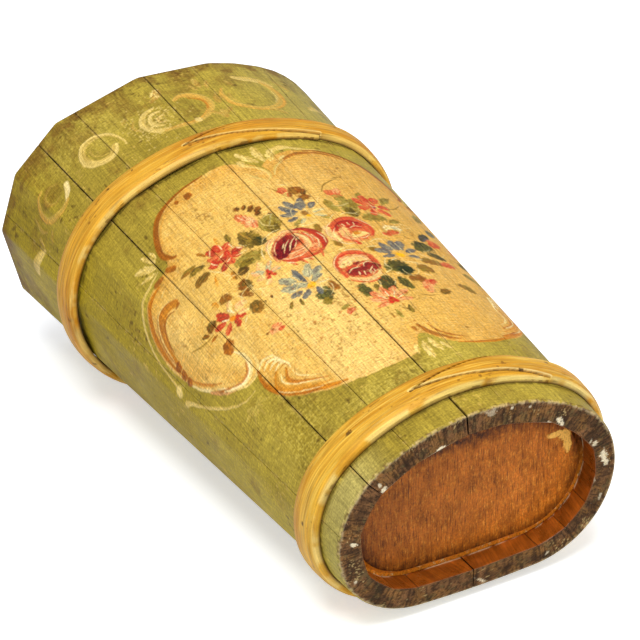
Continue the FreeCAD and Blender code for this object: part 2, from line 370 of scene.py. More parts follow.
class Ground:
    """The painted wall as a fine sheet of colour and paint thickness."""

    def __init__(self, reach, step):
        self.step = step
        self.reach = reach
        self.u = np.arange(-reach, reach, step) + step / 2
        self.v = np.arange(0, BODY_HEIGHT, step) + step / 2
        self.colour = np.zeros((len(self.v), len(self.u), 3))
        self.relief = np.zeros((len(self.v), len(self.u)))
        self.strokes = 0

    def window(self, low_u, high_u, low_v, high_v):
        """Rows and columns that hold a patch, with the places of their points."""
        cols = slice(max(0, int((low_u + self.reach) / self.step)),
                     int((high_u + self.reach) / self.step) + 2)
        rows = slice(max(0, int(low_v / self.step)), int(high_v / self.step) + 2)
        return rows, cols, self.u[None, cols], self.v[rows, None]

    def lay(self, rows, cols, colour, alpha, relief=0.0):
        patch = self.colour[rows, cols]
        self.colour[rows, cols] = patch + (colour - patch) * alpha[..., None]
        self.relief[rows, cols] += relief * alpha

    def brush(self, points, width, left, right=None, opacity=0.9, dry=0.25, ridge=0.1, soft=0.3):
        """One stroke of a loaded brush; its two sides may carry two colours."""
        self.strokes += 1
        seed = self.strokes
        left = INK[left]
        right = left if right is None else INK[right]
        path = smooth_path(points)
        steps = np.linalg.norm(np.diff(path, axis=0), axis=1)
        share = np.concatenate([[0], np.cumsum(steps)]) / max(steps.sum(), 1e-6)
        widths = np.atleast_1d(width).astype(float)
        half = np.interp(share, np.linspace(0, 1, len(widths)), widths) / 2
        edge = half.max() + 0.8
        rows, cols, u, v = self.window(path[:, 0].min() - edge, path[:, 0].max() + edge,
                                       path[:, 1].min() - edge, path[:, 1].max() + edge)
        wander = (drift(u / 3, v / 3, seed) - 0.5) * 0.5
        u, v = u + wander, v + wander
        best = np.full(u.shape, 1e9)
        side = np.zeros(u.shape)
        along = np.zeros(u.shape)
        for a, b, qa, qb in zip(path, path[1:], share, share[1:]):
            d = b - a
            t = np.clip(((u - a[0]) * d[0] + (v - a[1]) * d[1]) / max(d @ d, 1e-9), 0, 1)
            du, dv = u - a[0] - t * d[0], v - a[1] - t * d[1]
            dist = du * du + dv * dv
            near = dist < best
            best = np.where(near, dist, best)
            side = np.where(near, np.sign(d[0] * dv - d[1] * du), side)
            along = np.where(near, qa + (qb - qa) * t, along)
        size = np.interp(along, share, half)
        across = side * np.sqrt(best) / np.maximum(size, 0.05)
        bristles = max(2.0, 2 * half.max() / 0.7)
        streak = drift(across * bristles / 2, along * steps.sum() / 9, seed + 3)
        body = np.clip((1.0 - np.abs(across)) / soft, 0, 1)
        covered = np.clip((streak + 0.35 - dry * (0.35 + along)) * 5, 0, 1)
        alpha = body * covered * opacity
        colour = mixed(left, right, np.clip(0.5 + 0.5 * across + (streak - 0.5) * 0.9, 0, 1))
        colour = colour * (0.88 + 0.24 * streak)[..., None]
        thick = ridge * (0.35 + 0.65 * streak + 0.5 * np.clip(across * across, 0, 1))
        self.lay(rows, cols, colour, alpha, thick)

    def dab(self, u0, v0, reach_u, reach_v, ink, turn=0.0, opacity=0.9, rag=0.5, soft=0.35, ridge=0.06):
        """A pressed touch of the brush with an uneven edge."""
        self.strokes += 1
        seed = self.strokes
        edge = max(reach_u, reach_v) * 1.5
        rows, cols, u, v = self.window(u0 - edge, u0 + edge, v0 - edge, v0 + edge)
        c, s = math.cos(math.radians(turn)), math.sin(math.radians(turn))
        x, y = ((u - u0) * c + (v - v0) * s) / reach_u, (-(u - u0) * s + (v - v0) * c) / reach_v
        mottle = cloud(u / 1.7, v / 1.7, seed, 2)
        far = np.sqrt(x * x + y * y) + (mottle - 0.5) * 2 * rag
        alpha = np.clip((1 - far) / soft, 0, 1) * opacity
        self.lay(rows, cols, INK[ink] * (0.85 + 0.3 * mottle)[..., None], alpha, ridge * mottle)

    def sample(self, u, v):
        """Colour and thickness at places on the wall, drawn from the nearest four points."""
        x = np.clip((u + self.reach) / self.step - 0.5, 0, len(self.u) - 1.001)
        y = np.clip(v / self.step - 0.5, 0, len(self.v) - 1.001)
        col, row = x.astype(int), y.astype(int)
        fx, fy = x - col, y - row

        def between(sheet):
            fx_, fy_ = (fx, fy) if sheet.ndim == 2 else (fx[..., None], fy[..., None])
            return ((sheet[row, col] * (1 - fx_) + sheet[row, col + 1] * fx_) * (1 - fy_)
                    + (sheet[row + 1, col] * (1 - fx_) + sheet[row + 1, col + 1] * fx_) * fy_)

        return between(self.colour), between(self.relief)


def closed_distance(line, u, v):
    """Whether places lie inside a closed line, and how far from it they are."""
    inside = np.zeros(u.shape, bool)
    best = np.full(u.shape, 1e9)
    for a, b in zip(line, np.roll(line, -1, axis=0)):
        d = b - a
        t = np.clip(((u - a[0]) * d[0] + (v - a[1]) * d[1]) / max(d @ d, 1e-9), 0, 1)
        best = np.minimum(best, (u - a[0] - t * d[0]) ** 2 + (v - a[1] - t * d[1]) ** 2)
        if a[1] != b[1]:
            crosses = (a[1] > v) != (b[1] > v)
            inside ^= crosses & (u < a[0] + (v - a[1]) * d[0] / d[1])
    return inside, np.sqrt(best)


MIDDLE = 5.0


def mirrored(points):
    return [(2 * MIDDLE - u, v) for u, v in points]


LEFT_TOP_LOBE = [(8, 264), (4, 272), (-3, 278), (-11, 281.2), (-21, 282.8), (-32, 282.6), (-42, 281.2),
                 (-52, 278.6), (-61, 275), (-68.5, 269.5), (-75, 262), (-80, 253), (-82.6, 244),
                 (-81.4, 236.5),
                 (-84, 231.5)]
LEFT_SIDE_LOBE = [(-92, 231), (-100, 229.5), (-107.5, 226.5), (-114, 221.5), (-119.4, 214.5), (-123, 206),
                  (-125, 197), (-125.6, 187), (-125, 178), (-123.4, 169), (-120.6, 160), (-116.8, 151),
                  (-112, 142), (-106.5, 134), (-100.5, 126.5), (-94, 120), (-88.5, 116.2), (-83, 116.6)]
LEFT_FOOT_SCROLL = [(-85, 112), (-85.4, 105), (-83.2, 97), (-79, 89), (-73, 81.5), (-66, 75), (-58.5, 70),
                    (-50, 66.6), (-41, 64)]
FOOT_EDGE = [(-31, 61.8), (-20, 60.6), (-10, 60.6), (-4, 63), (0, 70), (4.5, 77), (9, 76), (13, 70),
             (19, 64.5),
             (29, 61), (40, 60.4), (51, 64)]


def panel_outline():
    left = LEFT_TOP_LOBE + LEFT_SIDE_LOBE + LEFT_FOOT_SCROLL
    right = mirrored(LEFT_FOOT_SCROLL[::-1]) + mirrored(LEFT_SIDE_LOBE[::-1]) + mirrored(LEFT_TOP_LOBE[:0:-1])
    points = left + FOOT_EDGE + right
    found = []
    for start, end in ((0, len(LEFT_TOP_LOBE)), (len(LEFT_TOP_LOBE) - 1, len(left)),
                       (len(left), len(left) + len(FOOT_EDGE)), (len(left) + len(FOOT_EDGE), len(points))):
        found.append(smooth_path(points[start:end], 5))
    return np.vstack(found)


def paint_green(ground):
    """Thin olive oil paint, brushed along the staves, yellowed and dirtied by handling."""
    u, v = ground.u[None, :], ground.v[:, None]
    broad = cloud(u / 46, v / 70, 1)
    streaks = cloud(u / 1.6, v / 60, 2, 2)
    hatch = cloud(u / 9, v / 1.3, 6, 2)
    fine = cloud(u / 1.1, v / 1.3, 3, 2)
    colour = mixed(INK["green"], INK["green_pale"], ramp(broad, 0.38, 0.68))
    colour = mixed(colour, INK["green_deep"], 0.5 * ramp(cloud(u / 26, v / 48, 4), 0.50, 0.72))
    colour = mixed(colour, INK["green_grey"], 0.55 * ramp(-v, -19, -15) * ramp(-u, 50, 84))
    rubbed = ramp(-np.hypot((u + 88) / 34, (v - 62) / 44), -1, -0.2) * ramp(fine, 0.46, 0.72) * 0.8
    rubbed = np.maximum(rubbed, ramp(-np.hypot((u + 20) / 70, (v - 50) / 12), -1, -0.2)
                        * ramp(fine, 0.4, 0.7))
    rubbed = np.maximum(rubbed, ramp(-np.hypot((u + 66) / 46, (v - 376) / 34), -1, -0.3)
                        * ramp(fine, 0.4, 0.8))
    colour = mixed(colour, INK["green_light"], 0.75 * rubbed)
    colour = colour * (0.66 + 0.24 * streaks + 0.32 * fine + 0.14 * hatch)[..., None]
    soiled = ramp(cloud(u / 15, v / 15, 5) + 0.26 * ramp(v, 330, 400), 0.62, 0.88)
    soiled = np.maximum(soiled, 0.8 * ramp(-np.hypot((u + 118) / 30, (v - 232) / 44), -1, 0)
                        * ramp(cloud(u / 6, v / 6, 2), 0.45, 0.75))
    for stain_u, stain_v, reach_u, reach_v in ((-28, 366, 24, 34), (-112, 382, 34, 26), (-4, 346, 16, 24),
                                               (38, 344, 14, 14)):
        near = ramp(-np.hypot((u - stain_u) / reach_u, (v - stain_v) / reach_v), -1, -0.1)
        soiled = np.maximum(soiled, 0.85 * near * ramp(cloud(u / 3, v / 3, 6), 0.44, 0.62))
    colour = mixed(colour, INK["grime"], 0.6 * soiled * (0.35 + 0.65 * drift(u / 1.9, v / 2.2, 6)))
    # The left side loses blue as painted shade where the wall turns down towards the floor, and the band by
    # the mouth turns grey to the right
    colour[..., 2] *= 1 - 0.55 * ramp(-u, 90, 150)
    colour = mixed(colour, INK["green_grey"], 0.28 * ramp(v, 318, 326) * ramp(u, 20, 90))
    spots = drift(u / 1.9, v / 2.3, 7) * drift(u / 9, v / 9, 0)
    colour = mixed(colour, INK["brown_dark"], 0.6 * ramp(spots, 0.62 - 0.16 * ramp(v, 360, 400), 0.78))
    pale = drift(u / 1.2, v / 1.3, 1) * drift(u / 12, v / 14, 2)
    colour = mixed(colour, INK["cream_dull"], 0.6 * ramp(pale, 0.60, 0.80))
    ground.colour[:] = colour
    ground.relief[:] = 0.05 * streaks + 0.05 * fine


def paint_panel(ground):
    """Cream panel inside its scrolled outline, with the brown glaze along its lobes."""
    line = panel_outline()
    rows, cols, u, v = ground.window(line[:, 0].min() - 4, line[:, 0].max() + 4,
                                     line[:, 1].min() - 4, line[:, 1].max() + 4)
    ragged = (cloud(u / 4, v / 4, 3) - 0.5) * 1.4
    inside, far = closed_distance(line, u + ragged, v + ragged)
    depth = np.where(inside, far, -far)
    alpha = ramp(depth, -0.4, 0.5)
    broad = cloud(u / 40, v / 55, 6)
    colour = mixed(INK["panel"], INK["panel_pale"], ramp(broad, 0.40, 0.72) * 0.5)
    colour = mixed(colour, INK["panel_warm"], 0.8 * ramp(-depth, -20, -2)
                   * ramp(cloud(u / 12, v / 12, 1), 0.25, 0.6))
    # A paler zone on the middle stave, bounded by its seam: partly the stave's own paler paint, partly a
    # painted highlight
    middle = ramp(u, -53, -49) * ramp(-u, -10, 26) * ramp(-v, -186, -150)
    colour = mixed(colour, INK["panel_pale"], 0.85 * middle)
    colour = mixed(colour, INK["panel_warm"], 0.5 * ramp(u, -6, 40))
    weave = cloud(u / 1.2, v / 12, 4, 2) * 0.5 + cloud(u / 12, v / 1.2, 5, 2) * 0.5
    fleck = cloud(u / 1.3, v / 1.3, 2, 2)
    streaks = cloud(u / 2.4, v / 34, 7, 2)
    lobe = ramp(-u, 78, 92)
    colour = colour * (0.80 + (0.15 + 0.24 * lobe) * weave + 0.14 * streaks + 0.12 * fleck - 0.08 * lobe)[...,
        None]
    tan = cloud(u / 7, v / 9, 3) * cloud(u / 1.2, v / 1.2, 7, 2)
    colour = mixed(colour, INK["ochre"], 0.26 * ramp(tan, 0.28, 0.48))
    hairs = cloud(u / 0.8, v / 16, 3, 2)
    colour = mixed(colour, INK["tan"], 0.34 * ramp(hairs, 0.56, 0.72)
                   * ramp(cloud(u / 16, v / 30, 7), 0.35, 0.6))
    colour = mixed(colour, INK["white"], 0.14 * ramp(cloud(u / 1.0, v / 1.0, 5, 2), 0.60, 0.74))
    foxing = drift(u / 1.1, v / 1.2, 2) * cloud(u / 14, v / 14, 5)
    near_middle = ramp(-np.hypot((u + 22) / 42, (v - 118) / 50), -1, 0)
    colour = mixed(colour, INK["leaf_brown"], 0.55 * ramp(foxing + 0.06 * near_middle, 0.48, 0.62))
    ground.lay(rows, cols, colour, alpha, 0.10 + 0.12 * weave + 0.06 * fleck)


def leaf(ground, u0, v0, turn, length, width, ink, shade="leaf_deep", light="leaf_soft", opacity=0.92,
         ridge=0.14):
    """A leaf or petal pressed from a loaded brush: two tones, a ragged edge and scratched veins."""
    ground.strokes += 1
    seed = ground.strokes
    rows, cols, u, v = ground.window(u0 - length * 0.6, u0 + length * 0.6, v0 - length * 0.6 - width * 0.3,
                                     v0 + length * 0.6 + width * 0.3)
    c, s = math.cos(math.radians(turn)), math.sin(math.radians(turn))
    x, y = ((u - u0) * c + (v - v0) * s) / (length / 2), (-(u - u0) * s + (v - v0) * c) / (width / 2)
    y = y - 0.22 * (1 - x * x)
    mottle = cloud(u / 1.5, v / 1.5, seed, 2)
    body = np.maximum(1 - np.abs(x) ** 2.2, 0) ** 0.6 - np.abs(y) + (mottle - 0.5) * 0.7
    alpha = np.clip(body / 0.22, 0, 1) * (np.abs(x) < 1.02) * opacity
    grain = cloud(x * length / 5, y * width / 1.4, seed + 2, 2)
    colour = mixed(INK[ink], INK[shade], ramp(grain - 0.22 * y - 0.10 * x, 0.34, 0.62))
    veins = ramp(-np.abs(np.sin((x * 2.4 + np.abs(y) * 0.9) * math.pi)), -0.22, 0) * (np.abs(y) < 0.7)
    veins = np.maximum(veins * 0.5, ramp(-np.abs(y + 0.05), -0.12, 0) * 0.7) * ramp(mottle, 0.42, 0.6)
    colour = mixed(colour, INK[light], 0.7 * veins)
    colour = colour * (0.80 + 0.40 * mottle)[..., None]
    ground.lay(rows, cols, colour, alpha, ridge * (0.4 + 0.9 * grain))


def glaze_lobes(ground):
    """Brown and ochre strokes that round the panel's edge, with cream lights beside them."""
    stroke = ground.brush
    for fold in (list, mirrored):
        stroke(fold([(-30, 282.6), (-44, 281), (-57, 276.6), (-68, 269.6), (-76, 259), (-80.6, 248),
                     (-80.8, 240), (-77.6, 234.6),
                     (-75.6, 233.4)]), [1.0, 1.8, 2.4, 3.0, 4.0, 5.0, 5.2, 4.8, 2.6], "ochre_deep", "brown",
               opacity=0.92, dry=0.2, ridge=0.1)
        stroke(fold([(-64, 268), (-72, 259), (-76.6, 249), (-76.8, 241), (-74, 236)]),
               [0.8, 2.0, 2.6, 2.4, 1.2], "ochre",
               "panel_warm", opacity=0.55, dry=0.5)
        stroke(fold([(-84.4, 230.4), (-81.4, 227.6)]), [5.2, 5.6], "brown", "ochre_deep", opacity=0.88,
               dry=0.3)
        stroke(fold([(-95.6, 229.8), (-91, 229.6)]), [4.6, 4.0], "brown", "ochre_deep", opacity=0.82, dry=0.4)
        stroke(fold([(-98, 219.4), (-95, 221.6)]), [1.6, 1.0], "cream", opacity=0.6)
        # Inside of the side lobe: broad ochre sweeps and cream lights
        stroke(fold([(-95, 227), (-103, 225.6), (-110.4, 221), (-116.6, 213.6), (-120.4, 204.6),
                     (-122.4, 194),
                     (-122.8, 183), (-121.6, 172)]), [1.6, 3.6, 4.6, 4.8, 4.4, 3.6, 2.8, 1.6], "ochre",
                     "ochre_deep",
               opacity=0.92, dry=0.25, ridge=0.16)
        stroke(fold([(-94, 207.4), (-100.6, 210.4), (-107.6, 208.4), (-113.6, 202.4), (-117.2, 194),
                     (-118.8, 184.6), (-118.4, 176)]),
               [6.2, 9.0, 9.6, 8.4, 6.4, 4.4, 2.0], "ochre_deep", "ochre", opacity=0.88, dry=0.35, ridge=0.2)
        stroke(fold([(-97, 203.6), (-103.6, 205.6), (-109.6, 201.6), (-113.6, 195), (-115.6, 187)]),
               [1.0, 2.0, 2.2, 1.8, 0.8],
               "ochre_deep", "brown", opacity=0.75, dry=0.35, ridge=0.14)
        stroke(fold([(-96, 212.6), (-104, 213.6), (-111, 209.6), (-116, 202), (-118.6, 193), (-119.8, 184)]),
               [0.6, 1.3, 1.5, 1.4, 1.2, 0.5],
               "cream", "panel_pale", opacity=0.85, dry=0.3)
        stroke(fold([(-92.6, 205), (-95.6, 203.6)]), [3.0, 1.6], "brown", "ochre_deep", opacity=0.8)
        stroke(fold([(-122.6, 166), (-119.6, 155.6), (-114.8, 146), (-109, 137.6), (-102.6, 130)]),
               [1.0, 1.8, 2.2, 2.2, 1.2], "cream", "white", opacity=0.85, dry=0.35, ridge=0.3)
        stroke(fold([(-119.6, 165), (-115.6, 154), (-110, 144.6), (-103.6, 136.4)]), [1, 2.2, 2.4, 1],
               "ochre", "ochre_deep", opacity=0.75, dry=0.4, ridge=0.14)
        stroke(fold([(-114, 143), (-108, 134), (-101, 126.6), (-94, 122.6), (-87.6, 124), (-84.6, 130)]),
               [1.6, 3.4, 4.4, 4.4, 3.6, 1.4], "pink_pale", "ochre_deep", opacity=0.85, dry=0.35, ridge=0.18)
        stroke(fold([(-106, 131.6), (-99, 124.4), (-92, 120.8), (-85.4, 123), (-82.4, 130), (-83.6, 139),
                     (-87, 145)]),
               [1, 2.2, 3.4, 4.0, 3.6, 2.4, 0.8], "cream", "white", opacity=0.9, dry=0.35, ridge=0.3)
        stroke(fold([(-98.6, 122.4), (-91.6, 117.6), (-84.6, 117.8), (-79.6, 123), (-78.4, 131)]),
               [1, 1.8, 2.4, 2.4, 0.8], "cream", "panel_pale", opacity=0.85, dry=0.3, ridge=0.2)
        # Scroll at the foot: concentric ochre sweeps under a fluted cream shell
        stroke(fold([(-82, 119), (-84, 112), (-83.6, 103.6), (-80, 94.6), (-73.8, 86.4), (-66, 79),
                     (-57.6, 73), (-47, 68.4)]),
               [2.0, 3.4, 4.4, 5.0, 5.2, 4.8, 3.8, 1.6], "ochre_deep", "ochre", opacity=0.95, dry=0.2,
               ridge=0.16)
        stroke(fold([(-74.6, 107), (-78.4, 100), (-76, 92.4), (-69.6, 85.4), (-61.6, 79.4), (-53.6, 75)]),
               [2.6, 4.6, 5.4, 5.0, 3.8, 1.6], "ochre", "panel_warm", opacity=0.92, dry=0.35, ridge=0.2)
        stroke(fold([(-69, 104), (-72, 97), (-68.6, 89.6), (-61.6, 83.6), (-54, 79)]),
               [1.8, 3.2, 3.4, 2.8, 1.2], "ochre", "ochre_deep", opacity=0.85, dry=0.4, ridge=0.2)
        stroke(fold([(-63, 102), (-66.4, 95.6), (-62.6, 88.6), (-56, 84)]), [1.2, 2.4, 2.4, 1.0], "ochre",
               "cream",
               opacity=0.8, dry=0.4, ridge=0.16)
        for points in ([(-81.4, 96), (-76, 88), (-68.4, 81), (-60, 75.4)],
                       [(-74.6, 96), (-70.6, 90), (-64, 84.4), (-57, 80)],
                       [(-73.6, 103.4), (-75.6, 98.6), (-73.4, 93)], [(-67, 99.6), (-66.6, 94), (-62, 88.6)]):
            stroke(fold(points), [0.5, 1.0, 1.0, 0.5], "cream", "white", opacity=0.8, dry=0.4, ridge=0.3)
        for lift in (0, 1, 2, 3):
            stroke(fold([(-81.6 + lift * 2.4, 118.6 - lift * 3.4), (-76.4 + lift * 2.2, 121 - lift * 3.8),
                         (-71 + lift * 1.4, 119 - lift * 4.2), (-69 + lift * 0.8, 113.6 - lift * 3.8)]),
                   [0.8, 2.4, 2.4, 0.6], "cream", "white", opacity=0.85, dry=0.4, ridge=0.35)
            stroke(fold([(-80 + lift * 2.4, 117 - lift * 3.4), (-75 + lift * 2.2, 119 - lift * 3.8),
                         (-71 + lift * 1.4, 116.6 - lift * 4.2)]),
                   [0.4, 0.9, 0.4], "ochre", "ochre_deep", opacity=0.7, ridge=0.1)
        # Thin cream line outside the lobe, in two reaches that end in drops
        stroke(fold([(-90, 236), (-99, 233.4), (-109.4, 230.6), (-118, 224), (-124.4, 214), (-128.4, 203),
                     (-130.2, 191), (-130.6, 181), (-131.4, 175)]),
                     [1.0, 2.2, 2.6, 2.6, 2.2, 2.0, 1.8, 1.4, 2.6],
               "cream", "cream_dull", opacity=0.92, dry=0.2, ridge=0.24)
        ground.dab(*fold([(-132.6, 172.6)])[0], 4.0, 4.2, "cream", opacity=0.95, rag=0.22, ridge=0.3)
        stroke(fold([(-134.4, 163), (-131.6, 158.6), (-127.6, 150.6), (-122.6, 140.6), (-116.6, 131),
                     (-110.4, 122.4),
                     (-104.6, 116), (-98, 111.4), (-91, 110.6)]),
                     [5.0, 2.6, 1.8, 2.0, 2.4, 1.8, 1.5, 1.2, 0.6], "cream", "cream_dull",
               opacity=0.9, dry=0.25, ridge=0.22)
        # Leaf sprays in the notches
        for u0, v0, turn, long, wide in ((-96, 245, -42, 17, 6.0), (-96.6, 238.6, -20, 12, 3.2),
                                         (-90, 249, -66, 14, 4.6),
                                         (-86, 249, -80, 9, 2.4)):
            (spray_u, spray_v), = fold([(u0, v0)])
            leaf(ground, spray_u, spray_v, turn if fold is list else 180 - turn, long, wide, "cream",
                 "cream_dull", "white",
                 opacity=0.85, ridge=0.22)
        for reach in range(9):
            swing = math.radians(150 + reach * 26)
            long = 6.5 + 4 * (reach % 2)
            centre = (-97 + 0.6 * long * math.cos(swing), 104 + 0.6 * long * math.sin(swing))
            (spray_u, spray_v), = fold([centre])
            leaf(ground, spray_u, spray_v, math.degrees(swing) if fold is list else 180 - math.degrees(swing),
                 long, 2.0,
                 "cream_dull", "green_light", "cream", opacity=0.55, ridge=0.1)
        for u0, v0, long, wide in ((-119.6, 178.6, 7.4, 6.4), (-120.2, 171.4, 7.4, 6.4),
                                   (-120.4, 164.6, 6.6, 5.2)):
            (dot_u, dot_v), = fold([(u0, v0)])
            leaf(ground, dot_u, dot_v, 80, long, wide, "brown", "ochre_deep", "ochre")
    stroke([(14, 268.6), (24, 275), (34, 278.6), (47, 279.4), (60, 276.4), (70, 270)],
           [1, 3.0, 3.6, 3.4, 3.0, 1.6], "ochre_deep",
           "brown", opacity=0.75, dry=0.45)
    leaf(ground, -45, 272.2, 60, 7.0, 5.6, "brown", "ochre_deep", "ochre")
    leaf(ground, -53.2, 272.4, 80, 4.2, 3.4, "ochre_deep", "brown", "ochre")
    # Palmette between the two upper lobes
    for u0, v0, turn, long, wide in ((1.6, 284, 122, 18, 6.6), (10.6, 285, 90, 19, 7.0),
                                     (18, 282, 58, 17, 6.4),
                                     (-3.4, 277, 140, 9, 3.0), (22, 276, 40, 8, 2.6)):
        leaf(ground, u0, v0, turn, long, wide, "cream", "cream_dull", "white", opacity=0.85, ridge=0.2)
    for points, width in (([(25.6, 287.4), (31, 287), (38, 284.6), (54, 283)], [5.6, 3.4, 1.6, 0.6]),
                          ([(23.6, 287.6), (27, 288.4)], [5.6, 5.6]),
                          ([(-5, 280.6), (-3.8, 279.8)], [4.6, 4.6]),
                          ([(-7, 277.4), (1, 272.6), (5.6, 265.6), (5.8, 259.6), (2.6, 255.6)],
                           [1.0, 2.6, 3.2, 2.8, 0.8]),
                          ([(-7, 268), (-2.6, 260.5), (2.4, 255)], [1, 2.6, 1.2]),
                          ([(8.8, 260), (13.4, 268), (22, 274)], [1.0, 2.4, 0.8])):
        stroke(points, width, "cream", "cream_dull", opacity=0.85, dry=0.3, ridge=0.2)
    # Drops and sweeps between the two scrolls at the foot
    for u0, v0, turn, long, wide in ((2.6, 62, 84, 17, 5.4), (8.6, 65, 100, 14, 4.4), (-3, 65, 70, 10, 3.4),
                                     (13.6, 62, 112, 9, 3.0)):
        leaf(ground, u0, v0, turn, long, wide, "cream", "cream_dull", "white", opacity=0.9, ridge=0.24)
    for points, width in (([(8.6, 86), (11, 78), (17, 70), (25, 65)], [2.0, 4.2, 3.6, 1.2]),
                          ([(5, 84), (6, 79)], [3, 2.4]),
                          ([(14, 84), (17, 76), (23, 70), (31, 66.4)], [1.0, 2.4, 2.2, 0.8])):
        stroke(points, width, "ochre_deep", "brown", opacity=0.8, dry=0.45, ridge=0.14)
    stroke([(22, 62.6), (33, 61), (46, 62.2), (58, 66.6), (70, 72)], [1.0, 2.4, 2.8, 2.4, 1.2], "ochre",
           "ochre_deep", opacity=0.85, dry=0.35)


def flower(ground, petals, inks, heart=None, heart_ink="yellow"):
    """Petals as (u, v, turn, length, width), painted in turn with the given inks, and a raised heart."""
    for number, (u, v, turn, long, wide) in enumerate(petals):
        ink, shade, light = inks[number % len(inks)]
        leaf(ground, u, v, turn, long, wide, ink, shade, light, ridge=0.24)
    if heart:
        ground.dab(*heart, heart_ink, rag=0.25, ridge=0.5)


RED_PETAL = [("red", "crimson", "pink"), ("red", "red", "pink_pale"), ("red", "pink", "pink_pale")]
BLUE_PETAL = [("blue", "blue_deep", "blue_pale"), ("blue_pale", "blue", "white"),
              ("blue", "blue_pale", "blue_deep")]
DARK_BLUE_PETAL = [("blue_deep", "blue", "blue_pale"), ("blue", "blue_deep", "blue_pale")]
PINK_PETAL = [("pink_pale", "pink", "white"), ("pink", "pink_pale", "cream")]


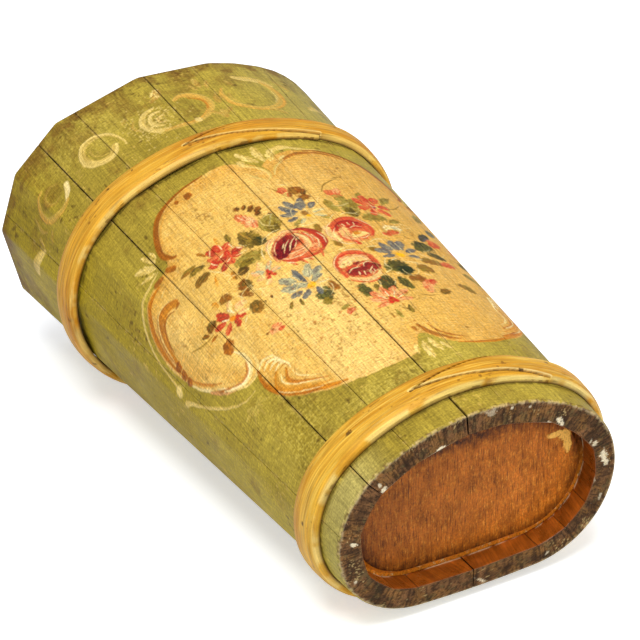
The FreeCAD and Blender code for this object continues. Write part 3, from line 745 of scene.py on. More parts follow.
def paint_leaves(ground):
    """Foliage and stems behind the flowers."""
    stroke = ground.brush
    for points in ([(-105.6, 172), (-101, 168), (-95, 165.8), (-89, 165)], [(-82, 170), (-77, 166)],
                   [(-2.8, 249.4), (1, 242), (4, 234)],
                   [(6.6, 236), (5.8, 228)], [(26, 232), (31, 239), (37, 243), (45, 247)],
                   [(41, 246.6), (46, 248.4), (51, 247.4)],
                   [(57, 149), (64, 148), (71, 150)], [(60, 216), (67, 222), (75, 230)],
                   [(62, 212), (70, 215), (78, 222)],
                   [(23.6, 221), (24.6, 212), (28, 204)], [(26.6, 113), (32, 111), (37, 111.6)],
                   [(-44.6, 216), (-46.4, 212.6)],
                   [(9, 104), (13.6, 99)], [(0.6, 103), (0.4, 97)], [(4.4, 104), (4.2, 96)],
                   [(9.6, 133), (10.4, 125)], [(-10, 200), (-4, 204)]):
        stroke(points, [0.6, 1.4, 0.6], "leaf_brown", "leaf", opacity=0.85, dry=0.3)
    for u, v, turn, long, wide, ink, shade, light in (
            (-76.2, 215.9, -4, 13, 4.2, "leaf", "leaf_brown", "panel_warm"),
            (-71.3, 211.5, -8, 12, 6, "leaf_dark", "leaf", "panel_warm"),
            (-72.3, 202.4, 8, 13, 7.4, "leaf_dark", "leaf_brown", "leaf_soft"),
            (-63.7, 220.2, -60, 8, 3, "ochre_deep", "leaf_brown", "ochre"),
            (-50.5, 223, 95, 8, 2.6, "ochre", "panel_warm", "cream"),
            (-44.2, 220.6, 82, 8.4, 4, "leaf_dark", "leaf", "leaf_soft"),
            (-42.4, 195, -10, 21, 12, "leaf", "leaf_soft", "panel_warm"),
            (-46, 192.6, 10, 11, 7, "leaf_dark", "leaf", "leaf_soft"),
            (-33.4, 210.6, 112, 20, 14, "leaf_dark", "leaf", "panel_warm"),
            (-30, 205, 120, 12, 8, "leaf_dark", "leaf_deep", "leaf_soft"),
            (-17, 214.4, 64, 18, 15, "leaf_soft", "leaf", "blue_pale"),
            (-17.6, 209, 70, 10, 9, "leaf", "leaf_dark", "leaf_soft"),
            (37, 212, 66, 21, 15, "leaf_soft", "leaf", "leaf"),
            (33, 206, 90, 12, 8, "leaf", "leaf_dark", "leaf_soft"),
            (45, 199, 2, 18, 11, "leaf_soft", "leaf", "panel_warm"),
            (24.6, 216, 96, 17, 6, "leaf", "leaf_soft", "panel_warm"),
            (33.6, 222.6, 30, 9, 6, "leaf", "leaf_soft", "leaf"),
            (67, 223, 42, 15, 6, "leaf", "leaf_soft", "leaf_dark"),
            (-21.4, 136.9, 78, 14, 11, "leaf_green", "leaf_deep", "leaf_soft"),
            (-24, 131, 90, 8, 6, "leaf_soft", "leaf", "leaf_green"),
            (-14.6, 141, 100, 11, 5, "leaf_brown", "brown", "ochre"),
            (-42.4, 142.6, 52, 6.4, 2.6, "leaf_dark", "leaf", "leaf"),
            (-36.4, 140.6, 84, 6.6, 2.4, "leaf_dark", "leaf", "leaf"),
            (-0.6, 127.4, 98, 15, 8.4, "leaf_green", "leaf_deep", "leaf_soft"),
            (28.6, 142, -18, 18, 16, "leaf_deep", "leaf_green", "leaf_soft"),
            (32.6, 138, 40, 12, 11, "leaf_deep", "leaf_deep", "leaf_green"),
            (15.4, 129.6, 80, 16, 11, "leaf_deep", "leaf_deep", "leaf_soft"),
            (25, 126.4, 100, 15, 7, "leaf_deep", "leaf_green", "leaf_soft"),
            (6.4, 127, 88, 9, 4, "leaf", "leaf_dark", "leaf_soft"),
            (11, 125, 92, 8, 3.4, "leaf_green", "leaf_dark", "leaf_soft"),
            (62, 166.6, 20, 18, 14, "leaf_deep", "leaf_green", "leaf_dark"),
            (71, 181, 44, 16, 7, "leaf_deep", "blue_deep", "leaf_green"),
            (66, 157.6, -16, 14, 8, "leaf_deep", "leaf_dark", "leaf_soft"),
            (86, 193, 40, 14, 8, "leaf_green", "blue", "leaf_soft"),
            (46.3, 139.8, -14, 12, 11, "leaf_brown", "leaf", "leaf_soft"),
            (57.4, 149, -8, 17, 8, "leaf", "leaf_brown", "leaf_dark"),
            (34.6, 129, -20, 12, 10, "brown", "leaf_brown", "pink"),
            (45.4, 114.8, 20, 9, 6.4, "leaf_brown", "leaf_dark", "ochre"),
            (13.6, 101, 80, 9, 3.4, "leaf_dark", "leaf", "leaf_soft"),
            (5, 98.6, 88, 9, 3, "leaf", "leaf_soft", "leaf"),
            (92, 160, 30, 17, 9, "leaf", "leaf_deep", "leaf_soft"),
            (84, 140, -20, 16, 9, "leaf_soft", "leaf", "leaf"),
            (66, 122, -30, 13, 8, "leaf", "leaf_brown", "leaf_soft"),
            (88, 212, 50, 16, 8, "leaf_soft", "leaf", "leaf"),
            (7.9, 177.4, 92, 9, 5, "leaf", "leaf_brown", "leaf_soft"),
            (5, 196.6, 84, 10, 5, "leaf", "leaf_brown", "ochre"),
            (24.6, 165, 84, 7, 5, "leaf", "leaf_brown", "leaf_soft"),
            (-3, 206, 30, 9, 4, "leaf_soft", "leaf", "panel_pale"),
            (16, 206, 150, 8, 4, "leaf_soft", "panel_warm", "leaf"),
            (-54.6, 177.4, 80, 12, 10, "brown", "leaf_dark", "ochre"),
            (-58.4, 170.6, -52, 11, 5, "leaf_brown", "brown", "cream"),
            (-57.6, 157, 78, 12, 10, "leaf_dark", "leaf_brown", "panel_warm"),
            (-69.9, 177.4, -30, 9, 8, "brown", "leaf_brown", "ochre"),
            (-76.6, 180, -70, 7, 3.4, "ochre", "panel_warm", "ochre_deep"),
            (-86.2, 170.2, 20, 9, 7.6, "leaf_dark", "brown", "ochre"),
            (-93, 168.8, -40, 6.6, 3.6, "brown", "leaf_dark", "ochre"),
            (-89.4, 162.4, 0, 6.4, 2.4, "leaf_brown", "ochre_deep", "ochre"),
            (-85.6, 148.6, 62, 12, 8.6, "brown", "ochre_deep", "ochre"),
            (-56.2, 189.8, 84, 9, 3.6, "ochre", "leaf_brown", "panel_warm"),
            (-50.3, 188.4, 0, 8, 7, "leaf_dark", "brown_dark", "panel_warm"),
            (-66.6, 194, 70, 10, 2.4, "ochre", "panel_warm", "ochre"),
            (-19, 119.6, 10, 6, 3.6, "leaf_soft", "leaf", "leaf"),
            (49, 226, 60, 10, 4, "leaf_soft", "leaf", "leaf"),
            (58, 196, 20, 10, 5, "leaf", "leaf_soft", "leaf")):
        leaf(ground, u, v, turn, long, wide, ink, shade, light)
    for u, v, turn, long, wide in ((-27.7, 239.6, 90, 4.4, 3.8), (-23.8, 237.7, 60, 5.2, 3.6),
                                   (-21, 234, 50, 6.6, 5),
                                   (-18, 230.4, 40, 6.4, 5), (-19.8, 227, 20, 4.6, 4),
                                   (-14.2, 222.8, 0, 2.6, 2), (-47.8, 157.6, 80, 3.2, 2),
                                   (-52.4, 157, 80, 2.4, 1.6), (-12, 90, 0, 2, 1.6), (-64, 134, 20, 2.4, 1.6),
                                   (13.2, 229.5, 20, 9, 7.6),
                                   (11.7, 239, 30, 11, 9), (15.4, 236, 60, 7, 6)):
        leaf(ground, u, v, turn, long, wide, "brown", "brown_dark" if long < 8 else "leaf_brown", "ochre")


def paint_roses(ground):
    """Three roses: a dark heart, petals wrapped round it and cream lights scraped over them."""
    stroke, dab = ground.brush, ground.dab

    def lights(lines, width=1.1, ink="white"):
        for points in lines:
            stroke(points, [0.4, width, width * 0.8, 0.35], ink, "pink_pale", opacity=0.92, dry=0.25,
                   ridge=0.45)

    # Left rose
    dab(-15, 186, 17, 15, "pink", turn=10, opacity=0.95, rag=0.2, soft=0.25)
    leaf(ground, -26, 196, 40, 15, 9, "pink_pale", "cream", "white", ridge=0.3)
    leaf(ground, -15, 199.6, 5, 15, 6, "pink_pale", "cream", "white", ridge=0.3)
    leaf(ground, -13, 179.6, 5, 24, 10, "pink_pale", "pink", "cream", ridge=0.3)
    leaf(ground, -19.4, 189.4, 38, 26, 15, "crimson", "wine", "red", ridge=0.3)
    leaf(ground, -15.4, 194.6, 26, 17, 7, "pink", "pink_pale", "red", ridge=0.3)
    stroke([(-31, 181), (-30, 188), (-26, 194.6), (-19, 199.6), (-11, 201.4)], [1.6, 2.6, 2.8, 2.4, 1.2],
           "pink_pale", "pink",
           opacity=0.85, dry=0.35, ridge=0.3)
    leaf(ground, -23.6, 187.4, 52, 17, 10, "wine", "crimson", "crimson", ridge=0.3)
    stroke([(-12, 201), (-6, 200.4), (-1.4, 196.4), (1.4, 190), (1.2, 182.6), (-2, 177)],
           [1.6, 3.4, 5.6, 6.4, 6.0, 2.6], "red", "crimson",
           opacity=0.95, dry=0.2, ridge=0.3)
    stroke([(-10.6, 197), (-7.6, 191), (-8.6, 184), (-12.6, 179.6)], [2.0, 4.6, 4.6, 2.0], "pink_pale",
           "cream", opacity=0.9, dry=0.3, ridge=0.35)
    stroke([(-6.6, 197), (-4.4, 190), (-5.6, 183.6)], [1.0, 1.8, 1.0], "red", "pink", opacity=0.85, dry=0.4,
           ridge=0.3)
    stroke([(-3, 176), (-8, 173.6), (-12, 173)], [3.0, 3.6, 1.8], "red", "pink", opacity=0.8, dry=0.4,
           ridge=0.3)
    stroke([(-27.6, 179), (-22, 174.8), (-14, 173.2), (-8, 173.6)], [2.2, 4.4, 4.4, 2.2], "red", "pink",
           opacity=0.9, dry=0.3, ridge=0.3)
    for points in ([(-24.6, 174.6), (-23.4, 170.4)], [(-19.4, 173), (-17.6, 168)], [(-15, 172), (-13.4, 169)],
                   [(-5, 174), (-6.6, 168.6)]):
        stroke(points, [2.6, 1.2], "red", "pink", opacity=0.85)
    leaf(ground, -20.6, 189.2, 44, 23, 14, "crimson", "wine", "red", ridge=0.3)
    lights(([(-24.6, 184.6), (-21, 190), (-16.6, 193.6)], [(-20.6, 184.6), (-17, 190.2), (-11.6, 194.6)],
            [(-17.4, 184.6), (-13.6, 189.4)],
            [(-23.4, 189), (-20.6, 192.4)], [(-13.6, 190.6), (-10.4, 194)],
            [(-32.4, 184), (-32, 191), (-28.6, 198.4), (-22, 202.4)],
            [(-29.4, 186), (-27.6, 192), (-23.6, 196.6)], [(-20, 203), (-13, 202), (-9, 199)],
            [(-2.4, 192), (-1.4, 185), (-4.6, 178)],
            [(-24, 178), (-17, 176.6), (-11, 179)], [(-22, 182), (-15, 181), (-9, 184)],
            [(-27.4, 180.6), (-24, 178)],
            [(-9.6, 196.6), (-7, 191), (-8.4, 185)], [(-5.4, 196), (-3.6, 190.4), (-4.6, 185)],
            [(1.6, 193), (3.2, 187), (1.8, 181)],
            [(-12.6, 196.6), (-10.4, 191.4)], [(-18, 172.6), (-12.6, 170.4)], [(-27, 176.4), (-23, 172.6)]))
    # Right rose
    dab(21.6, 187.4, 15.4, 14.4, "pink", turn=10, opacity=0.95, rag=0.2, soft=0.25)
    leaf(ground, 9.6, 187, 96, 21, 7, "pink_pale", "cream", "white", ridge=0.3)
    stroke([(11.6, 190), (14.6, 196.4), (21, 200.2), (28, 199), (33.4, 193.6), (35, 186), (32.6, 179.6)],
           [2.8, 4.2, 5.0, 5.2, 5.0, 4.2, 2.2], "pink", "red", opacity=0.92, dry=0.25, ridge=0.3)
    stroke([(14.4, 186), (15, 192), (19, 196.4), (25, 197), (30, 194)], [2.6, 3.4, 3.6, 3.4, 2.0], "red",
           "crimson", opacity=0.92, dry=0.2, ridge=0.3)
    leaf(ground, 25.6, 191.6, -12, 14, 9, "crimson", "red", "pink", ridge=0.3)
    stroke([(31, 190), (31.6, 184), (28, 178.6)], [2, 3.2, 1.6], "red", "pink", opacity=0.85, dry=0.35,
           ridge=0.3)
    leaf(ground, 17.8, 186, 78, 14, 7.6, "panel_pale", "pink_pale", "cream", ridge=0.35)
    leaf(ground, 24.6, 181, 10, 13, 7, "cream", "panel_pale", "white", ridge=0.35)
    leaf(ground, 17, 178.4, -30, 12, 6, "pink_pale", "pink", "cream", ridge=0.3)
    dab(23.3, 184, 3.0, 2.6, "ochre", opacity=0.95, ridge=0.3)
    stroke([(17.6, 176), (19.6, 172.6)], [3, 3.6], "red", opacity=0.9)
    lights(([(20, 195.6), (20.6, 192)], [(23.6, 196), (23.8, 192.6)], [(27.4, 195), (26.6, 191.6)],
            [(22, 189.6), (26, 191), (30, 189)],
            [(7.4, 181), (6.6, 188), (9.6, 195.4), (14.6, 199.6)], [(10.6, 183), (11, 189), (14, 193)],
            [(8.6, 179), (13, 174.4), (19, 174)],
            [(21.6, 179.4), (26, 177.6), (30.6, 180)], [(14.6, 182), (17, 178.6), (21, 179)],
            [(31, 199), (35, 194.6), (37, 189)]))
    # Lower rose
    dab(6.8, 151, 13.8, 15.6, "pink", turn=0, opacity=0.95, rag=0.18, soft=0.25)
    stroke([(-4.6, 144), (-5.2, 152), (-3.6, 159.4), (1.6, 164.8), (8, 166.2), (14.4, 163.6), (18.2, 157.6),
            (18.8, 149.6), (16.6, 143)],
           [2.4, 3.8, 4.4, 4.6, 4.6, 4.8, 4.6, 3.6, 1.8], "red", "pink", opacity=0.95, dry=0.18, ridge=0.3)
    leaf(ground, 2.4, 157.6, 34, 14, 9, "pink_pale", "cream", "white", ridge=0.35)
    leaf(ground, 10.6, 157.6, -28, 14, 9, "pink_pale", "panel_pale", "white", ridge=0.35)
    leaf(ground, 8.2, 146.4, 6, 23, 15, "wine", "crimson", "crimson", ridge=0.3)
    stroke([(-2, 149.6), (3, 152.4), (8, 151.6), (12, 154), (17, 151.6)], [1.6, 2.8, 2.6, 2.8, 1.4], "red",
           "pink", opacity=0.9, dry=0.25, ridge=0.3)
    stroke([(-3, 142.6), (1.6, 138.4), (8, 136.8), (14, 139.4), (17, 143)], [2.0, 4.0, 4.4, 3.8, 1.8],
           "pink_pale", "cream", opacity=0.92, dry=0.25, ridge=0.35)
    stroke([(-3.6, 140), (1, 135.8), (7.4, 134), (13, 135.6)], [1.4, 2.0, 2.0, 1.0], "red", "pink",
           opacity=0.85, dry=0.35, ridge=0.25)
    lights(([(-1.6, 147), (2.6, 150.4), (8, 150)], [(9.6, 149.6), (11.4, 153), (15, 153.6), (17, 151)],
            [(6.6, 141.6), (7.2, 145.6)],
            [(10, 141.4), (10.8, 145.2)], [(3.4, 142.4), (4, 146)], [(13.6, 142.6), (13.8, 145.6)],
            [(-2.6, 155), (0.6, 160.6), (6, 162.4)],
            [(8, 161.6), (13, 160), (15.6, 155.6)], [(1, 154), (5, 157), (9.6, 156)],
            [(0, 139), (5.6, 136), (12, 137.4)],
            [(-6.4, 150), (-6, 157), (-2, 163.6), (4, 168)], [(6, 169.4), (12, 168.6), (17, 165)],
            [(11, 144.6), (15, 148.6)]))


def paint_flowers(ground):
    """Daisies, carnations and buds round the roses."""
    stroke, dab = ground.brush, ground.dab
    # Red carnation with ragged petals
    dab(-53.4, 209, 8.6, 8.6, "pink", opacity=0.75, rag=0.4)
    flower(ground, ((-58, 217, 112, 8, 6), (-53.6, 217.6, 92, 8.4, 6), (-48.4, 214.6, 52, 8, 5.6),
                    (-45, 207.6, -10, 8, 5.6),
                    (-48, 204.4, -34, 8, 5), (-52.4, 202.4, -80, 7.6, 5.4), (-57.6, 200.4, -140, 8.4, 4.6),
                    (-61.4, 207, 190, 8.4, 6),
                    (-59.6, 212, 160, 8, 6), (-55, 206, 20, 7, 4.6), (-50.6, 209.4, 60, 6, 4.4)), RED_PETAL)
    for points in ([(-60, 215), (-58, 219)], [(-52, 219.4), (-51.4, 215)], [(-46.6, 216), (-45.6, 211)],
                   [(-56, 209), (-53, 211)],
                   [(-44, 210), (-42, 207)], [(-62.4, 209), (-60, 205)], [(-54, 203), (-51, 204.6)]):
        stroke(points, [0.8, 1.2, 0.6], "pink_pale", "white", opacity=0.85, ridge=0.35)
    # Blue daisies
    flower(ground, ((-35.6, 148.6, 185, 9, 5), (-36.6, 155.4, 155, 12, 7), (-34.6, 162, 130, 12, 7),
                    (-27.4, 161.6, 96, 15, 4.6),
                    (-20.6, 161.6, 66, 13, 6.4), (-16.6, 158, 42, 11, 6), (-31.4, 144.6, 215, 9, 4.6),
                    (-19.6, 153, 20, 9, 5),
                    (-30, 154, 140, 10, 6), (-24, 142.4, 265, 8, 4)), BLUE_PETAL)
    stroke([(-27.6, 166.4), (-27, 160), (-26.2, 154)], [1.6, 3.0, 1.2], "blue_deep", "blue", opacity=0.9,
           ridge=0.25)
    for points in ([(-22, 149), (-18, 147.6), (-14.6, 148)], [(-33, 157.6), (-29, 153)],
                   [(-38, 153), (-33, 152)], [(-19, 163), (-22, 156)],
                   [(-31, 165), (-28.6, 158)]):
        stroke(points, [0.6, 1.0, 0.5], "white", "blue_pale", opacity=0.85, ridge=0.35)
    dab(-25.3, 149.4, 3.3, 3.3, "yellow", rag=0.2, ridge=0.5)
    stroke([(-26.6, 148.4), (-24.6, 147.6)], [1.2, 0.8], "ochre", opacity=0.8)
    flower(ground, ((-3, 222.6, 135, 11, 5.6), (1, 225.6, 112, 11, 5.4), (8.6, 225, 76, 12, 6.6),
                    (-5, 216.6, 170, 10, 5),
                    (13.4, 220.6, 42, 9, 4.6), (-2, 219, 150, 9, 5), (5, 222, 92, 9, 4),
                    (-4.6, 211, 200, 8, 4)), DARK_BLUE_PETAL)
    flower(ground, ((14, 214, 10, 9, 4), (13, 208.6, -30, 8, 4), (0, 207, 230, 7, 3.6)),
           (("cream", "blue_pale", "white"),))
    dab(5.4, 214, 3.2, 3.0, "leaf_brown", rag=0.25, ridge=0.3)
    dab(6.2, 211, 2.0, 1.8, "yellow", rag=0.2, ridge=0.4)
    flower(ground, ((44.8, 166.6, 62, 12, 7), (39.8, 166.8, 92, 12, 6.4), (33.6, 165.8, 122, 11, 6.4),
                    (29.4, 161.6, 150, 11, 6),
                    (30, 156, 185, 9, 4.6), (48.4, 160.6, 24, 11, 4.6), (47, 154, -8, 8, 4)), DARK_BLUE_PETAL)
    for points in ([(42, 170), (42.6, 162)], [(36, 168), (37.6, 161)], [(46, 151.6), (51, 151)],
                   [(33, 152), (29, 151)]):
        stroke(points, [0.6, 1.0, 0.5], "white", "blue_pale", opacity=0.8, ridge=0.35)
    dab(38.4, 156.2, 3.4, 3.2, "yellow", rag=0.2, ridge=0.5)
    # Small red, pink and white flowers
    flower(ground, ((-77.2, 169.4, 118, 11, 6.4), (-82, 165.2, 160, 9, 5.2), (-79.6, 158.6, 216, 9, 4.6),
                    (-73, 157, 268, 8, 4.6),
                    (-69, 159.6, -34, 8, 5)), RED_PETAL)
    flower(ground, ((-65.4, 165.6, 12, 10, 6.4), (-70.6, 170.6, 66, 9, 4.6), (-66, 160.4, -22, 8, 4)),
           (("pink_pale", "cream", "white"),))
    for points in ([(-73, 170), (-71, 164.6)], [(-79.6, 166.6), (-75.6, 163.6)],
                   [(-71.6, 168.6), (-70.6, 164.6)]):
        stroke(points, [0.8, 1.2, 0.6], "white", opacity=0.9, ridge=0.35)
    dab(-73.8, 162.2, 2.6, 2.4, "ochre_bright", rag=0.2, ridge=0.4)
    flower(ground, ((-44.6, 181, 145, 9, 5), (-40.4, 184, 96, 10, 5.6), (-36.4, 181.6, 52, 9, 4.6),
                    (-45, 175.6, 185, 8, 4.4),
                    (-35, 176, 0, 7, 4), (-43, 170.6, 230, 7, 4)),
                    (("pink_pale", "blue_pale", "white"), ("pink_pale", "cream", "white")))
    for u, v, ru, rv in ((-39.8, 175.6, 3.0, 2.6), (-41.4, 172.6, 1.8, 1.8), (-37.6, 173, 1.8, 1.6),
                         (-39.4, 178, 1.4, 2)):
        dab(u, v, ru, rv, "red", opacity=0.92, rag=0.35, ridge=0.2)
    dab(-39.6, 175, 0.9, 0.9, "brown_dark", opacity=0.9)
    flower(ground, ((46, 219, 132, 11, 7), (51, 222, 96, 11, 7), (57.6, 220.6, 52, 10, 7), (60, 213, 0, 9, 6),
                    (56.6, 206.6, -50, 10, 6.4),
                    (48.6, 207, 236, 10, 6.4), (44.6, 212, 190, 9, 6), (52, 213.6, 60, 8, 6)),
           (("red", "pink", "pink_pale"), ("pink", "red", "pink_pale")))
    dab(52.6, 213, 2.2, 1.8, "blue_deep", opacity=0.6, rag=0.4)
    flower(ground, ((1, 116.4, 152, 11, 5.6), (3, 120.6, 126, 11, 5.6), (8, 122, 92, 11, 5.6),
                    (13.4, 121, 58, 11, 5.6), (16.6, 116.8, 24, 11, 5.6),
                    (16, 111, -12, 9, 4.6), (1, 111, 196, 9, 4.4)), PINK_PETAL)
    for points in ([(2.6, 119.6), (6, 114.6)], [(8, 122), (7.8, 115.6)], [(13.6, 120.6), (10, 114.6)],
                   [(17, 116), (12, 113.4)]):
        stroke(points, [0.5, 1.0, 0.5], "white", opacity=0.85, ridge=0.35)
    for u, v, ru, rv in ((7.9, 112.8, 3.4, 2.8), (6, 110.6, 2, 1.6), (10, 110.8, 1.6, 1.6),
                         (8, 115, 1.4, 1.8)):
        dab(u, v, ru, rv, "red", opacity=0.95, rag=0.35, ridge=0.25)
    for u, v, turn, long, wide, ink, shade, light in (
            (-30, 231, 108, 10, 6, "pink", "red", "pink_pale"),
            (-27, 225, 100, 14, 9, "pink", "pink_pale", "white"),
            (-25.6, 220, 84, 8, 6, "pink_pale", "pink", "white"),
            (4.5, 241.6, 60, 8, 7, "red", "pink", "pink_pale"),
            (6.6, 236, 80, 6, 4, "pink", "brown", "pink_pale"),
            (31, 230, 40, 8, 7, "pink", "red", "pink_pale"),
            (36.4, 230.6, 60, 10, 6, "pink_pale", "pink", "red"),
            (33, 226, 0, 9, 5, "pink", "leaf_soft", "red"),
            (47.6, 187, 40, 9, 5, "white", "cream", "pink_pale"),
            (53.6, 187.6, -20, 9, 5, "white", "blue_pale", "cream"),
            (48.4, 181.6, 10, 11, 6.4, "red", "pink", "pink_pale"),
            (42.6, 179.6, -30, 7, 4, "pink", "red", "pink_pale"),
            (-58, 133.6, 20, 10, 6.4, "pink", "pink_pale", "pink_pale"),
            (-55.6, 131, 0, 5, 3.4, "pink", "red", "pink_pale"),
            (-17.6, 114.6, 30, 6.4, 5, "pink", "red", "white"),
            (39.6, 123.4, 30, 15, 8, "pink", "pink_pale", "red"),
            (43, 125.6, 50, 8, 4, "red", "pink", "pink_pale"),
            (36, 117.6, 70, 9, 6, "pink", "pink_pale", "cream"),
            (69, 148.6, 10, 12, 8, "pink", "red", "pink_pale"),
            (76, 175, 30, 14, 9, "pink", "red", "pink_pale"),
            (97, 178, 20, 14, 9, "red", "pink", "pink_pale"),
            (104, 150, 0, 12, 9, "pink", "red", "pink_pale")):
        leaf(ground, u, v, turn, long, wide, ink, shade, light, opacity=0.85, ridge=0.2)
    for points in ([(-31, 233), (-28.6, 226)], [(-28, 231), (-26, 223)], [(-26, 228), (-24.6, 221.6)],
                   [(-29.6, 226), (-27.6, 219.6)]):
        stroke(points, [0.6, 1.1, 0.5], "white", "pink_pale", opacity=0.75, dry=0.4, ridge=0.3)


def paint_bouquet(ground):
    """Folk bouquet: roses, daisies, carnations and mixed leaves, laid on wet."""
    paint_leaves(ground)
    paint_flowers(ground)
    paint_roses(ground)
    stroke, dab = ground.brush, ground.dab
    # Loose cream lights and stray specks between the flowers
    for points in ([(-30, 203.6), (-24, 206), (-17, 206)], [(-36, 188), (-35, 194), (-32, 199)],
                   [(36, 203), (30, 206), (24, 205)],
                   [(26, 172), (32, 174.6), (40, 173)], [(60, 192), (55, 190), (50, 191)],
                   [(26, 153), (23, 148), (24, 142)],
                   [(22, 168), (29, 167)], [(-63, 174), (-60, 168)], [(34, 149), (42, 147.6), (50, 145)],
                   [(52, 158), (58, 155)],
                   [(-6, 206), (0, 202), (8, 203)], [(16, 203), (20, 206.6)], [(-52, 170), (-47, 166)],
                   [(28, 135), (24, 138)],
                   [(-14, 166), (-8, 163.6)], [(42, 135), (46, 132.6)], [(-70, 152), (-66, 156)],
                   [(-48, 204), (-40, 203)],
                   [(18, 139), (24, 141.6)], [(4, 171), (10, 172)], [(-66, 205), (-60, 196)],
                   [(10, 246), (4, 249)]):
        stroke(points, [0.4, 1.2, 0.4], "white", "cream", opacity=0.75, dry=0.4, ridge=0.4)
    scatter = np.random.default_rng(23)
    for _ in range(64):
        swing, spread = scatter.uniform(0, 2 * math.pi), 1 + 0.45 * scatter.random()
        u, v = 2 + 46 * spread * math.cos(swing), 180 + 34 * spread * math.sin(swing)
        arc, bow, start = scatter.uniform(5, 12), scatter.uniform(0.7, 1.6), scatter.uniform(0, 2 * math.pi)
        points = [(u + arc * math.cos(start + bow * step), v + arc * math.sin(start + bow * step))
                  for step in (0, 0.33, 0.66, 1)]
        stroke(points, [0.3, 0.9, 0.8, 0.3], "white" if scatter.random() < 0.7 else "tan", "cream",
               opacity=0.5, dry=0.5, ridge=0.3)
    scatter = np.random.default_rng(11)
    for _ in range(260):
        u, v = scatter.normal(-20, 26), scatter.normal(112, 24)
        if -74 < u < 74 and 64 < v < 160:
            size = 0.4 + 0.7 * scatter.random() ** 2
            dab(u, v, size, size * 1.2, ("leaf_brown", "leaf", "ochre_deep")[int(scatter.random() * 3)],
                opacity=0.6, rag=0.5)


